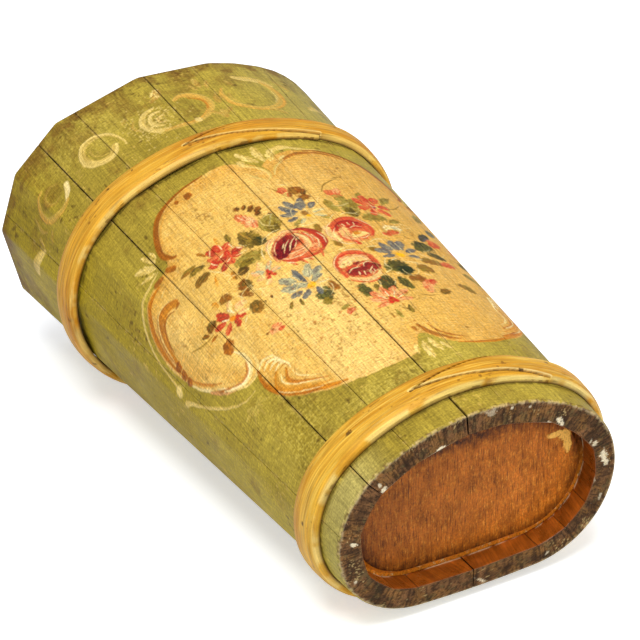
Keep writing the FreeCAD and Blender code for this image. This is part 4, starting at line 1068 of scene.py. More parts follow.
def paint_rim_scrolls(ground):
    """Rubbed cream scrolls round the band above the upper hoop."""
    stroke, dab = ground.brush, ground.dab
    stroke([(-58.6, 350), (-62, 344.4), (-68.6, 341.8), (-75.4, 344), (-79.6, 350.4), (-79.4, 358.6),
            (-74.6, 364.8), (-67, 367),
            (-59.4, 364.4), (-54.4, 358), (-52.2, 350), (-52.4, 345)],
            [5.0, 6.2, 6.0, 6.4, 6.4, 6.0, 5.4, 4.6, 3.8, 2.8, 1.8, 0.8],
           "cream_dull", "cream", opacity=0.88, dry=0.32, ridge=0.3)
    for inset, ink in ((1.6, "green"), (-0.6, "cream_dull"), (3.2, "cream_dull")):
        stroke([(-62 + inset * 0.5, 347), (-68.6, 343.6 + inset), (-74 + inset, 346.6 + inset * 0.5),
                (-77 + inset, 352), (-76.4 + inset, 358),
                (-72.6 + inset * 0.6, 362.4 - inset * 0.6), (-67, 364 - inset)],
                [0.5, 1.0, 1.2, 1.2, 1.0, 0.8, 0.4], ink, opacity=0.6, dry=0.4)
    for points, width, ink, shade, opacity in (
            ([(-98.6, 353.6), (-100.6, 348.6), (-105, 343.6)], [5.0, 5.0, 1.6], "cream", "white", 0.92),
            ([(-104, 343.4), (-111, 340.8), (-118.4, 343), (-124, 349), (-125, 357.4), (-121, 364.4),
              (-114, 368)],
             [3.4, 4.8, 5.2, 5.2, 4.8, 3.6, 1.4], "cream_dull", "panel_warm", 0.75),
            ([(-107, 351), (-112, 350), (-116, 355), (-114.6, 361), (-108.6, 363.6), (-103, 361)],
             [1.4, 2.4, 2.8, 2.6, 2.0, 0.8], "cream_dull", "tan", 0.45),
            ([(-131, 346.6), (-133.6, 354), (-131, 363.6)], [1.4, 3.6, 1.4], "tan", "cream_dull", 0.55),
            ([(-139, 352), (-141, 346)], [3.4, 2.0], "tan", "cream_dull", 0.55),
            ([(-162, 353.6), (-156, 351.6), (-149, 348.6), (-142, 344)], [8.4, 9.4, 7.0, 2.0], "cream",
             "cream_dull", 0.95),
            ([(-24.6, 363.6), (-31, 362.4), (-35.6, 356.6), (-35.6, 348.6), (-31.6, 342), (-24.6, 338.6)],
             [3.0, 4.6, 4.8, 4.8, 4.6, 3.2], "cream", "cream_dull", 0.85),
            ([(-22.6, 358), (-27.6, 358.6), (-31, 354), (-30, 347.6), (-25.6, 343.6)],
             [2.2, 3.4, 3.4, 3.2, 1.8], "cream", "cream_dull", 0.85),
            ([(-21.6, 353), (-25.6, 353), (-26.6, 349), (-23, 346)], [1.2, 2.2, 2.0, 1.0], "cream", "tan",
             0.85),
            ([(-39.6, 349), (-42.6, 355), (-39.6, 361.6)], [1.2, 2.6, 1.2], "cream_dull", "tan", 0.65),
            ([(-27, 338), (-18, 335.6), (-8.6, 335.6), (0, 338.6), (7, 344.6), (10.6, 353), (9, 361),
              (3.6, 366.6), (-4, 367.6), (-8.4, 364.6)],
             [2.6, 4.2, 4.4, 4.6, 5.4, 6.4, 7.0, 7.0, 6.2, 3.6], "cream_dull", "panel_warm", 0.92),
            ([(7.4, 347.6), (8.8, 354), (6.4, 360), (0.6, 363.6)], [1.4, 2.4, 2.4, 1.2], "ochre",
             "ochre_deep", 0.6),
            ([(41, 379.4), (46, 377.6), (53, 376.6), (60, 374.6), (65, 370.6)], [4.4, 7.0, 7.4, 6.6, 3.8],
             "cream", "cream_dull", 0.85),
            ([(58, 373.6), (62.6, 367), (64, 358), (61.6, 349), (55.6, 342), (46.6, 338), (36.6, 338.4),
              (28.6, 343), (23.6, 351), (23, 360), (26, 366.6)],
             [3.4, 6.0, 6.8, 7.0, 6.6, 5.6, 5.0, 5.0, 5.0, 4.4, 2.0], "cream_dull", "panel_warm", 0.88),
            ([(61, 362), (60.6, 354), (56, 346.6)], [1.4, 2.6, 1.4], "cream", "cream_dull", 0.6),
            ([(30, 347), (27, 353), (28, 360)], [1.0, 2.4, 1.2], "cream_dull", "tan", 0.5),
            ([(82, 346), (89, 350.6), (96, 351), (102, 346)], [4, 6.4, 5.6, 1.6], "cream", "cream_dull", 0.7),
            ([(70, 377), (75, 374), (79, 369)], [2, 4.4, 2], "cream_dull", "tan", 0.6),
            ([(108, 345), (116, 341.6), (123.6, 345), (127.6, 353), (124, 361.6), (116, 364)],
             [3.4, 4.6, 5, 5, 4.2, 2.0], "cream_dull", "tan", 0.6),
            ([(143, 346), (151, 350), (160, 353)], [1.6, 5.4, 6.2], "cream", "cream_dull", 0.8)):
        stroke(points, width, ink, shade, opacity=opacity, dry=0.28, ridge=0.3)
    for u, v, turn, long, wide, ink, opacity in (
            (-15.6, 375.6, 66, 13, 7.4, "cream", 0.92), (-20.4, 371, 40, 7, 4, "cream_dull", 0.8),
            (14, 378, 92, 13, 4.6, "cream_dull", 0.8),
            (19.6, 374.6, 72, 11, 3.8, "cream_dull", 0.75), (9.6, 374, 112, 9, 3.4, "cream_dull", 0.6),
            (14, 337.6, 92, 11, 6.4, "cream_dull", 0.8),
            (19.4, 341, 48, 8, 4.2, "cream_dull", 0.7), (9.4, 340.6, 132, 7, 3.8, "cream_dull", 0.65),
            (49, 336, 10, 9, 5, "cream_dull", 0.7),
            (54, 333.6, -20, 7, 4, "cream_dull", 0.6), (18, 356, 80, 12, 5, "tan", 0.6),
            (-44, 366, 40, 7, 3, "cream_dull", 0.5),
            (-130, 340, 30, 9, 4, "tan", 0.4), (34, 372, 120, 8, 3.4, "cream_dull", 0.5)):
        leaf(ground, u, v, turn, long, wide, ink, "tan", "cream", opacity=opacity, ridge=0.24)
    dab(-4.6, 337, 2.9, 2.8, "cream", opacity=0.95, rag=0.2, ridge=0.35)
    scatter = np.random.default_rng(5)
    for _ in range(220):
        u, v = scatter.normal(-30, 9), scatter.normal(350, 9)
        dab(u, v, 0.5 + 0.5 * scatter.random(), 0.5 + 0.4 * scatter.random(), "cream", opacity=0.5, rag=0.5)


def seam_dirt_and_shade(ground):
    """Dirt and painted shade drawn into the seams, heavier where they stand open."""
    v = ground.v
    for index, wear in SEAM_WEAR.items():
        heights, _, dark = zip(*wear)
        turn = wrapped(SEAMS[index][0] * 2 * math.pi)
        place = np.array([float(around(turn, height)) for height in v])
        rows, cols, u, rows_v = ground.window(place.min() - 2, place.max() + 2, 0, BODY_HEIGHT)
        far = np.abs(u - place[rows, None])
        alpha = np.exp(-(far / 0.5) ** 2) * np.interp(v[rows], heights, dark)[:, None]
        alpha = alpha * (0.65 + 0.35 * drift(rows_v / 5, 0 * rows_v, index))
        ground.lay(rows, cols, tint("#2c1808") + 0 * u[..., None], np.clip(alpha, 0, 1), -0.1)


def age_paint(ground):
    """Hairline checks and the brown dirt that gathers near the rim."""
    u, v = ground.u[None, :], ground.v[:, None]
    checks = drift(u / 2.1, v / 70, 5) * drift(u / 17, v / 45, 6)
    lines = ramp(-np.abs(drift(u / 3.3, v / 110, 3) - 0.5), -0.016, -0.002) * ramp(cloud(u / 22, v / 40, 1),
        0.5, 0.62)
    ground.colour[:] = mixed(ground.colour, INK["brown_dark"], 0.34 * lines)
    ground.relief[:] -= 0.08 * lines + 0.03 * ramp(checks, 0.55, 0.8)
    rim = ramp(cloud(u / 9, v / 7, 4) + 0.5 * ramp(v, 372, 402), 0.78, 1.08)
    ground.colour[:] = mixed(ground.colour, INK["grime"], 0.6 * rim)


def painted_wall():
    ground = Ground(PAINT_REACH, PAINT_STEP)
    paint_green(ground)
    paint_panel(ground)
    glaze_lobes(ground)
    paint_bouquet(ground)
    paint_rim_scrolls(ground)
    age_paint(ground)
    seam_dirt_and_shade(ground)
    return ground


# Pieces


def deselected():
    if bpy.context.object is not None and bpy.context.object.mode != "OBJECT":
        bpy.ops.object.mode_set(mode="OBJECT")
    bpy.ops.object.select_all(action="DESELECT")


def flat_grid(name, columns, rows):
    """A flat sheet of so many points each way, with the column and row of every point."""
    deselected()
    bpy.ops.mesh.primitive_grid_add(x_subdivisions=columns - 1, y_subdivisions=rows - 1, size=2)
    piece = bpy.context.object
    piece.name = piece.data.name = name
    flat = np.empty(len(piece.data.vertices) * 3, np.float32)
    piece.data.vertices.foreach_get("co", flat)
    flat = flat.reshape(-1, 3)
    column = np.rint((flat[:, 0] + 1) / 2 * (columns - 1)).astype(int)
    row = np.rint((flat[:, 1] + 1) / 2 * (rows - 1)).astype(int)
    return piece, column, row


def face_corners(mesh):
    corners = np.empty(len(mesh.loops), np.int32)
    mesh.loops.foreach_get("vertex_index", corners)
    return corners


def dress(piece, points, colour, relief, surface):
    """Lays the sheet's points in place and gives them colour, paint thickness and their unrolled place."""
    mesh = piece.data
    mesh.vertices.foreach_set("co", laid_down(points).astype(np.float32).ravel())
    paint = mesh.attributes.new("paint", "FLOAT_COLOR", "POINT")
    paint.data.foreach_set("color",
                           np.column_stack([colour, np.ones(len(colour))]).astype(np.float32).ravel())
    thick = mesh.attributes.new("relief", "FLOAT", "POINT")
    thick.data.foreach_set("value", relief.astype(np.float32))
    unrolled = mesh.uv_layers.active or mesh.uv_layers.new(name="unrolled")
    unrolled.name = "unrolled"
    unrolled.data.foreach_set("uv", (surface[face_corners(mesh)] * MM).astype(np.float32).ravel())
    mesh.update()


def close_up(smooth=32):
    """Merges the active sheet's meeting edges, caps what is open and turns all faces outwards."""
    bpy.ops.object.mode_set(mode="EDIT")
    bpy.ops.mesh.select_all(action="SELECT")
    bpy.ops.mesh.remove_doubles(threshold=0.000004)
    bpy.ops.mesh.select_all(action="DESELECT")
    bpy.ops.mesh.select_mode(type="EDGE")
    bpy.ops.mesh.select_non_manifold()
    bpy.ops.mesh.fill_holes(sides=0)
    bpy.ops.mesh.select_all(action="SELECT")
    bpy.ops.mesh.normals_make_consistent(inside=False)
    bpy.ops.mesh.select_all(action="DESELECT")
    bpy.ops.object.mode_set(mode="OBJECT")
    bpy.ops.object.shade_smooth_by_angle(angle=math.radians(smooth))


FOOT_PATCHES = [
    # x, y, half length, half width, turn and strength of each chip of white paint on the foot's stave ends
    (5.6, -61.9, 3.4, 2.2, 10, 0.4), (19.1, -60.7, 1.2, 0.9, 0, 0.8), (43.6, -42.4, 2.2, 1.0, 40, 0.7),
    (49.7, -41.7, 2.4, 2.0, 50, 1.0), (51.9, -38.2, 1.4, 1.8, 20, 0.9), (81.1, -6.7, 2.4, 4.6, -14, 1.0),
    (82.9, -1.9, 1.4, 2.6, 10, 0.9), (74.7, -17.3, 1.8, 2.2, 30, 0.9), (71.5, -19.8, 2.6, 0.8, -50, 0.7),
    (-25.9, -48.7, 2.8, 1.5, -15, 1.0), (-61.4, -33.8, 3.2, 1.7, -40, 1.0),
    (-63.4, -37.4, 1.2, 2.2, -30, 0.8),
    (-79.5, -3.4, 2.6, 1.5, 20, 1.0), (-79.1, 22.5, 1.3, 1.3, 0, 0.8), (-71.2, 12.8, 1.0, 0.8, 0, 0.7),
    (1.7, 51.5, 4.2, 0.7, 35, 0.8), (8.5, 55.0, 1.6, 0.6, 0, 0.6), (45.5, 48.7, 1.2, 1.0, 0, 0.7),
    (80.0, 20.9, 1.0, 2.6, 20, 0.5), (75.3, 7.9, 0.9, 1.0, 0, 0.6), (30.5, -57.5, 0.8, 0.8, 0, 0.6),
]


def end_grain_paint(x, y, depth, u):
    """Dirty saw-cut stave ends: brown stain, short radial marks, chips of white paint and a rubbed arris."""
    marks = cloud(u / 0.9, depth / 7, 4, 2)
    blot = cloud(x / 6, y / 6, 2)
    fine = cloud(x / 0.8, y / 0.8, 3, 2)
    stain = mixed(tint("#865a34"), tint("#5c3d22"), ramp(blot, 0.32, 0.66))
    stain = mixed(stain, tint("#9c6a34"), 0.6 * ramp(cloud(x / 8, y / 8, 6), 0.50, 0.72))
    stain = mixed(stain, tint("#6a5a34"), 0.5 * ramp(cloud(x / 4, y / 4, 1), 0.56, 0.74))
    stain = stain * (0.42 + 0.48 * marks + 0.62 * fine)[:, None] * (0.84, 0.91, 1.0)
    stain = mixed(stain, tint("#2a1a0c"), 0.6 * ramp(marks * fine, 0.26, 0.16))
    for px, py, long, wide, turn, strength in FOOT_PATCHES:
        c, s = math.cos(math.radians(turn)), math.sin(math.radians(turn))
        a, b = ((x - px) * c + (y - py) * s) / long, (-(x - px) * s + (y - py) * c) / wide
        far = np.hypot(a, b) + (cloud(x / 1.1, y / 1.1, 5, 2) - 0.5) * 1.3
        stain = mixed(stain, tint("#f2e3c0"), strength * np.clip((1 - far) / 0.3, 0, 1))
    flecks = drift(x / 0.75, y / 0.75, 6) * cloud(x / 9, y / 9, 7)
    stain = mixed(stain, tint("#c9ac72"), 0.75 * ramp(flecks, 0.52, 0.62))
    rub = ramp(-depth, -2.4, -1.1) * ramp(cloud(u / 1.8, depth / 1.5, 5, 2), 0.48, 0.64)
    stain = mixed(stain, tint("#c2a878"), 0.6 * rub)
    return stain


def worn_arris(is_open):
    return OPEN_SEAM_ARRIS if is_open else TIGHT_SEAM_ARRIS


def stave_sheet(first, last, first_open, last_open, pitch, foot_pitch, wall_pitch):
    """Columns round one stave's section and rows from foot to mouth, as depths and places."""
    def joint(is_open):
        worn = worn_arris(is_open)
        return [(0.0, STAVE_THICKNESS), (0.0, 10.0), (0.0, 5.0), (0.0, 2.2), (0.0, worn),
                (ARRIS_MIDDLE * worn, ARRIS_MIDDLE * worn), (worn, 0.0)]

    middle = BODY_HEIGHT / 2
    width = around(last, middle) - around(first, middle)
    inner = np.linspace(0, 1, max(8, int(width / 3.0)))[1:-1]
    inner = np.concatenate([[0.5 / width], inner, [1 - 0.5 / width]])
    left, right = joint(first_open), joint(last_open)
    count = max(6, int(width / pitch))
    columns = [("left", e, w) for e, w in left]
    columns += [("face", share, 0.0) for share in np.linspace(0, 1, count + 2)[1:-1]]
    columns += [("right", e, w) for e, w in right[::-1]]
    columns += [("inside", share, STAVE_THICKNESS) for share in inner[::-1]]
    columns += [("left", *left[0])]
    foot_middle, mouth_middle = ARRIS_MIDDLE * FOOT_ARRIS, ARRIS_MIDDLE * MOUTH_ARRIS
    rows = [(0.0, w, END_FACE_DEPTH) for w in np.arange(FOOT_END_START, FOOT_ARRIS + 0.3, -0.6)]
    rows += [(0.0, FOOT_ARRIS, END_FACE_DEPTH), (foot_middle, foot_middle, STAVE_THICKNESS),
             (FOOT_ARRIS, 0.0, STAVE_THICKNESS)]
    heights = np.concatenate([np.arange(FOOT_ARRIS + foot_pitch, CHIME_DEPTH, foot_pitch),
                              [CHIME_DEPTH], [CHIME_DEPTH + 1e-6]])
    deep = [STAVE_THICKNESS] * (len(heights) - 1) + [CROZE_FLOOR]
    rows += [(h, 0.0, w) for h, w in zip(heights, deep)]
    rows += [(h, 0.0, CROZE_FLOOR) for h in np.arange(CHIME_DEPTH + 1.0, CROZE_TOP, 1.0)]
    rows += [(CROZE_TOP, 0.0, CROZE_FLOOR), (CROZE_TOP + 1e-6, 0.0, STAVE_THICKNESS)]
    top = BODY_HEIGHT
    rows += [(h, 0.0, STAVE_THICKNESS) for h in np.arange(CROZE_TOP + wall_pitch, top - MOUTH_ARRIS - 0.2,
                                                          wall_pitch)]
    rows += [(top - MOUTH_ARRIS, 0.0, STAVE_THICKNESS), (top - mouth_middle, mouth_middle, STAVE_THICKNESS),
             (top, MOUTH_ARRIS, END_FACE_DEPTH)]
    rows += [(top, w, END_FACE_DEPTH) for w in np.arange(MOUTH_ARRIS + 0.9, MOUTH_END_STOP, 0.9)]
    return columns, rows


def seam_gap(index, is_open):
    """Half the width of a seam at each height."""
    wear = SEAM_WEAR.get(index, [(0, float(is_open), 0), (BODY_HEIGHT, float(is_open), 0)])
    heights, opened, _ = zip(*wear)
    return lambda height: (TIGHT_GAP + (OPEN_GAP - TIGHT_GAP) * float(np.interp(height, heights, opened))) / 2


def make_stave(number, ground, materials, fine):
    """One stave: a dense sheet wrapped round its section, so that the brushwork has points to sit on."""
    turns = [share * 2 * math.pi for share, _ in SEAMS]
    opens = [is_open for _, is_open in SEAMS]
    last, last_open = turns[number - 1], opens[number - 1]
    first, first_open = (turns[number - 2], opens[number - 2]) if number > 1 else (turns[-1] - 2 * math.pi,
        opens[-1])
    if first > math.pi - 0.05:
        first, last = first - 2 * math.pi, last - 2 * math.pi
    pitch, foot_pitch, wall_pitch = (fine, fine, fine) if fine else PLAIN_PITCH
    columns, rows = stave_sheet(first, last, first_open, last_open, pitch, foot_pitch, wall_pitch)
    piece, column, row = flat_grid(f"painted_stave_{number:02d}", len(columns), len(rows))
    kinds = np.array([{"left": 0, "face": 1, "right": 2, "inside": 3}[c[0]] for c in columns])
    places = np.array([c[1] for c in columns])
    depths = np.array([c[2] for c in columns])
    gaps = [seam_gap((number - 2) % len(SEAMS), first_open), seam_gap(number - 1, last_open)]
    worn = [worn_arris(first_open), worn_arris(last_open)]
    points = np.empty((len(rows), len(columns), 3))
    runs = np.empty((len(rows), len(columns)))
    depth_of = np.empty((len(rows), len(columns)))
    for index, (height, end_depth, deepest) in enumerate(rows):
        low = float(extended_around(first, height)) + gaps[0](height)
        high = float(extended_around(last, height)) - gaps[1](height)
        run = np.select([kinds == 0, kinds == 1, kinds == 2],
                        [low + places, low + worn[0] + places * (high - low - worn[0] - worn[1]),
                         high - places],
                        low + places * (high - low))
        depth = np.minimum(np.maximum(depths, end_depth), deepest)
        turn = extended_turns(run, height)
        outer = wall(turn, np.full(run.shape, height))
        corner_turns = extended_turns(np.array([low, high]), height)
        corners = wall(corner_turns, np.full(2, height)) - outward(corner_turns) * STAVE_THICKNESS
        share = np.clip((run - low) / (high - low), 0, 1)[:, None]
        chord = corners[0] * (1 - share) + corners[1] * share
        full = outer - outward(turn) * STAVE_THICKNESS
        inner = chord + (full - chord) * HOLLOW_SHARE
        points[index] = outer + (inner - outer) * (depth / STAVE_THICKNESS)[:, None]
        runs[index] = run
        depth_of[index] = depth
    points, run, depth = points[row, column], runs[row, column], depth_of[row, column]
    height = points[:, 2]
    kind = kinds[column]
    end_rows = np.array([r[1] for r in rows])[row]
    foot_end = (height < 0.01) & (end_rows > 0)
    mouth_end = (height > BODY_HEIGHT - 0.01) & (end_rows > 0)
    total = extended_around(math.pi, height) * 2
    seen_run = (run + total / 2) % total - total / 2
    colour, relief = ground.sample(seen_run, height)
    edge_wear = cloud(run / 2.0, height / 3.0, 3, 2)
    foot_rub = ramp(-height, -1.9, -0.7) * ramp(edge_wear, 0.42, 0.60)
    colour = mixed(colour, tint("#c4a872"), 0.75 * foot_rub)
    scuffed = ramp(-height, -3.4, -0.9) * ramp(drift(run / 1.6, height / 1.2, 5), 0.55, 0.8)
    colour = mixed(colour, tint("#5a3a1c"), 0.7 * scuffed)
    # A dark line on the wall just below each hoop's foot-side edge: painted shadow under the hoop
    painted_shadow_under_hoop = np.exp(-np.abs(height - LOWER_HOOP["start"] + 0.4)
                        / 0.9) + np.exp(-np.abs(height - UPPER_HOOP["start"] + 0.4) / 0.9)
    colour = mixed(colour, tint("#2c1a08"), 0.85 * np.clip(painted_shadow_under_hoop, 0, 1)
                   * ramp(drift(run / 3.0, 0 * run, 6), 0.15, 0.5))
    rim_rub = ramp(height, BODY_HEIGHT - 1.6, BODY_HEIGHT - 0.3) * ramp(edge_wear, 0.40, 0.60)
    colour = mixed(colour, tint("#8a6a3c"), 0.8 * rim_rub)
    seam_near = np.minimum(run - runs.min(axis=1)[row], runs.max(axis=1)[row] - run)
    colour = mixed(colour, tint("#c9a95e"), 0.3 * ramp(-seam_near, -1.5, -0.8) * ramp(edge_wear, 0.5, 0.7))
    ends = end_grain_paint(points[:, 0], points[:, 1], depth, run)
    colour = np.where((foot_end | mouth_end)[:, None], ends, colour)
    bare = mixed(tint("#7c3c0c"), tint("#a85814"), cloud(run / 5, height / 28, number % 8))
    bare = bare * (0.50 + 0.62 * cloud(run / 0.9, height / 9, 2, 2) + 0.30 * drift(run / 6, height / 9, 4))[:,
        None]
    glint = np.exp(-((height - CHIME_DEPTH + 0.5) / 0.55) ** 2) * ramp(drift(run / 6, 0 * run, 3) + 0.5
        * drift(run / 1.3, height, 5), 0.66, 0.9)
    bare = mixed(bare, tint("#f4dcb0"), 0.9 * glint * (height < CHIME_DEPTH + 0.01))
    colour = np.where((kind == 3)[:, None] & ~(foot_end | mouth_end)[:, None], bare, colour)
    deepest = np.array([r[2] for r in rows])[row]
    in_joint = (depth > 0.6) & (depth < deepest - 0.1) & (kind != 3) & ~(foot_end | mouth_end)
    # The joint faces and their inner corners are painted near black: painted shade in the gaps between staves
    colour = np.where(((depth >= deepest - 0.1) & (kind != 3) & ~(foot_end | mouth_end))[:, None],
                      tint("#1c0d04"), colour)
    colour = np.where(in_joint[:, None], tint("#241508"), colour)
    relief = np.where(foot_end | mouth_end | (kind == 3) | in_joint, 0.0, relief)
    surface = np.column_stack([run, np.where(foot_end, -depth, np.where(mouth_end, height + depth, height))])
    dress(piece, points, colour, relief, surface)
    mesh = piece.data
    corners = face_corners(mesh).reshape(-1, 4)
    on_end = (foot_end | mouth_end)[corners].all(axis=1)
    on_inside = (kind == 3)[corners].any(axis=1) & ~on_end
    in_gap = ((depth > 0.6) & (kind != 3))[corners].any(axis=1) & ~on_end & ~on_inside
    slots = np.where(on_end, 1, np.where(on_inside | in_gap, 2, 0)).astype(np.int32)
    for material in materials:
        mesh.materials.append(material)
    mesh.polygons.foreach_set("material_index", slots)
    close_up()
    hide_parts(f"stave_{number:02d}")
    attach(piece, "root")
    return piece


# Hoops


def hoop_section():
    """Points round a hoop's section: share across it from the foot side, and height off the wall."""
    section = []
    for across in np.linspace(0, 1, HOOP_FACE_POINTS):
        swell = 1 - (2 * across - 1) ** 4
        corner = 0.6 * math.exp(-min(across, 1 - across) * 40)
        section.append((across, HOOP_FIT + HOOP_EDGE + (HOOP_THICKNESS - HOOP_EDGE) * swell - corner))
    for grow in (1.8, 1.2, 0.6, 0.0):
        section.append((1.0, HOOP_FIT + grow))
    section += [(0.66, HOOP_FIT), (0.33, HOOP_FIT)]
    for grow in (0.0, 0.6, 1.2, 1.8):
        section.append((0.0, HOOP_FIT + grow))
    section.append(section[0])
    return section


def line_reach(along, across, line):
    """How far each place is from a line, and on which side of it."""
    best = np.full(along.shape, 1e9)
    side = np.zeros(along.shape)
    for a, b in zip(line, line[1:]):
        d = b - a
        t = np.clip(((along - a[0]) * d[0] + (across - a[1]) * d[1]) / (d @ d), 0, 1)
        du, dv = along - a[0] - t * d[0], across - a[1] - t * d[1]
        far = np.hypot(du, dv)
        near = far < best
        best = np.where(near, far, best)
        side = np.where(near, np.sign(d[0] * dv - d[1] * du), side)
    return best, side


def make_hoop(name, node, start, width, lock, blunt, specks, hues, seed, material):
    """One hoop: a crowned strip laid round the wall, cut where its hooked ends pass each other."""
    section = hoop_section()
    piece, column, row = flat_grid(name, HOOP_STEPS + 1, len(section))
    across = np.array([s[0] for s in section])[row]
    grow = np.array([s[1] for s in section])[row]
    middle = start + width / 2
    length = float(around(math.pi, middle)) * 2
    # Places along the hoop lie closer together where the lock is
    even = (column / HOOP_STEPS - 0.5) * 2
    run = length / 2 * (0.55 * even + 0.45 * even ** 3)
    height = start + width * across + (cloud(run / 40, 0 * run, seed + 3) - 0.5) * 0.9 * (1 - across)
    turn = turns_at(run, middle)
    outer_face = row < HOOP_FACE_POINTS
    on_edge = ~outer_face & ((across < 0.01) | (across > 0.99))
    along = run * (1 + HOOP_THICKNESS / 60)
    upper, lower = (np.array([(a, c * width) for a, c in part], float) for part in lock)
    far_upper, _ = line_reach(along, across * width, upper)
    far_lower, side_lower = line_reach(along, across * width, lower)
    inside = ramp(along, upper[-1][0] - 1, upper[-1][0] + 3)
    wave = (cloud(run / 30, across * 2, seed) - 0.5) * 0.6
    fibres = (cloud(run / 22, across * width / 1.6, seed + 1, 2) - 0.5) * 0.22
    far = np.minimum(far_upper, far_lower)
    cut = np.exp(-(far / 0.38) ** 2) * 1.3
    # The tail under the tongue lies a little lower than the strip that passes over it
    tail = ramp(np.interp(along, lower[:, 0], lower[:, 1]) - across * width, -0.4, 1.2)
    stop = lower[-1][0]
    tail = tail * ramp(along, -2, 16) * ramp(-along, -stop - blunt, -stop + blunt)
    beyond = ramp(along, stop - blunt, stop + blunt) * ramp(-across, -0.10, 0.0) * ramp(-along, -stop - 45,
        -stop)
    lift = np.exp(-far_upper / 4.0) * 0.5 * inside - 0.8 * tail
    grow = grow + np.where(outer_face, wave + fibres - cut + lift,
                           -0.8 * tail * on_edge) * np.clip(grow / 3.0, 0, 1)
    height = height + 1.6 * beyond
    points = wall(turn, height, MOUTH_OVAL) + outward(turn) * grow[:, None]
    # Colour: pale split wood, oiled yellow, rubbed to cream on the foot-side arris; painted shade and a
    # painted highlight at the lock and along the edges by the wall
    grain = cloud(run / 30, across * width / 0.9, seed, 2)
    streak = cloud(run / 16, across * width / 0.55, seed + 3, 2)
    broad = cloud(run / 50, across * 1.8, seed + 2)
    colour = mixed(tint("#cc8a22"), tint("#dba236"), ramp(broad, 0.34, 0.66))
    colour = mixed(colour, tint("#b87a20"), 0.55 * ramp(grain, 0.52, 0.76))
    colour = mixed(colour, tint("#e8bc56"), 0.5 * ramp(streak, 0.54, 0.76))
    hairline = ramp(-np.abs(drift(run / 55, across * width / 1.5, seed + 6) - 0.5), -0.035,
                    -0.004) * ramp(drift(run / 24, across * 5, seed + 1), 0.42, 0.7)
    colour = mixed(colour, tint("#7a4610"), 0.55 * hairline)
    colour = mixed(colour, tint("#94580f"), 0.35 * ramp(cloud(run / 20, across * width / 0.7, seed + 5, 2),
                                                        0.62, 0.78))
    colour = mixed(colour, tint("#b06c18"), 0.6 * ramp(across, 0.80, 1.0)
                   * ramp(cloud(run / 12, across, 4), 0.25, 0.6))
    worn = ramp(-across, -0.12, -0.04) * ramp(cloud(run / 12, across * 5, seed + 1), 0.36, 0.56)
    colour = mixed(colour, tint("#ecce80"), 0.6 * worn)
    dents = drift(run / 2.6, across * width / 1.2, seed + 4) * drift(run / 11, across * width / 8, seed + 5)
    colour = mixed(colour, tint("#6e4214"), 0.65 * ramp(dents, 0.62, 0.74))
    # Painted shade fading away from one side of the lock's lower line
    shade = np.exp(-far_lower / 2.6) * (side_lower > 0) * ramp(along, -20, 10)
    colour = mixed(colour, tint("#c0761c"), 0.55 * shade)
    facet = ramp(along, upper[-1][0] - 2, upper[-1][0] + 6) * ramp(-along, -upper[-1][0] - 46,
        -upper[-1][0] - 10) * np.exp(-far / 3.2)
    colour = mixed(colour, tint("#b5651a"), 0.5 * facet * ramp(grain, 0.35, 0.6))
    # A pale line beside the lock's lower line: a painted highlight on the raised edge of the tongue
    colour = mixed(colour, tint("#f6d890"), 0.7 * np.exp(-((far_lower - 1.1) / 0.5) ** 2) * (side_lower > 0))
    # Dark lines along both cuts of the lock: dirt in the joint and painted shade in its groove
    dark = 0.55 + 0.45 * drift(run / 6, 0 * run, 3)
    colour = mixed(colour, tint("#3a200a"), 0.95 * np.exp(-(far_upper / 0.36) ** 2) * dark)
    colour = mixed(colour, tint("#3a200a"), 0.85 * np.exp(-(far_lower / 0.34) ** 2) * dark)
    for place, share, size in specks:
        spot = np.hypot((run - place) / size, (across * width - share * width) / (size * 0.7))
        spot = spot + (drift(run / 0.9, across * width / 0.9, 2) - 0.5) * 0.8
        colour = mixed(colour, tint("#4a2a10"), 0.85 * np.clip((1 - spot) / 0.5, 0, 1))
    crumbs = on_edge * (across < 0.01) * ramp(drift(run / 2.6, grow / 1.4, 6) * drift(run / 21, 0 * run, 2),
                                              0.42, 0.56)
    # The side edges darken towards the wall: painted shade where hoop and wall meet
    colour = mixed(colour, tint("#5a3410"), np.where(on_edge, 0.8, 0) * ramp(-grow, -2.0, -0.5))
    colour = mixed(colour, tint("#5a3312"), 0.55 * crumbs)
    # The wood is a little yellower or paler from left to right
    colour = np.minimum(colour * np.stack([np.interp(run, (-90, 0, 90), part) for part in zip(*hues)], -1),
                        0.95)
    hidden = ~outer_face & ~on_edge
    colour = np.where(hidden[:, None], tint("#6d4a22"), colour)
    relief = 0.16 * grain + 0.14 * streak - 0.2 * hairline - 0.5 * np.exp(-(far / 0.5) ** 2)
    surface = np.column_stack([run, across * width + np.where(outer_face, 0, 30)])
    dress(piece, points, colour, relief, surface)
    piece.data.materials.append(material)
    close_up(smooth=40)
    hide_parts(node)
    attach(piece, "root")
    return piece


# Materials


WHITE = (1.0, 1.0, 1.0, 1.0)
# Between these lie most values of a noise texture
NOISE_SPAN = (0.3, 0.7)


def add_node(tree, kind, inputs=(), output=0, **settings):
    """Adds a node with its settings, gives its inputs values or links, and returns one of its outputs."""
    node = tree.nodes.new("ShaderNode" + kind)
    for name, value in settings.items():
        setattr(node, name, value)
    for name, value in inputs.items() if isinstance(inputs, dict) else enumerate(inputs):
        if isinstance(value, bpy.types.NodeSocket):
            tree.links.new(value, node.inputs[name])
        else:
            node.inputs[name].default_value = value
    return node.outputs[output] if len(node.outputs) else None


def new_material(name):
    material = bpy.data.materials.new(name)
    material.use_nodes = True
    material.node_tree.nodes.clear()
    return material, material.node_tree


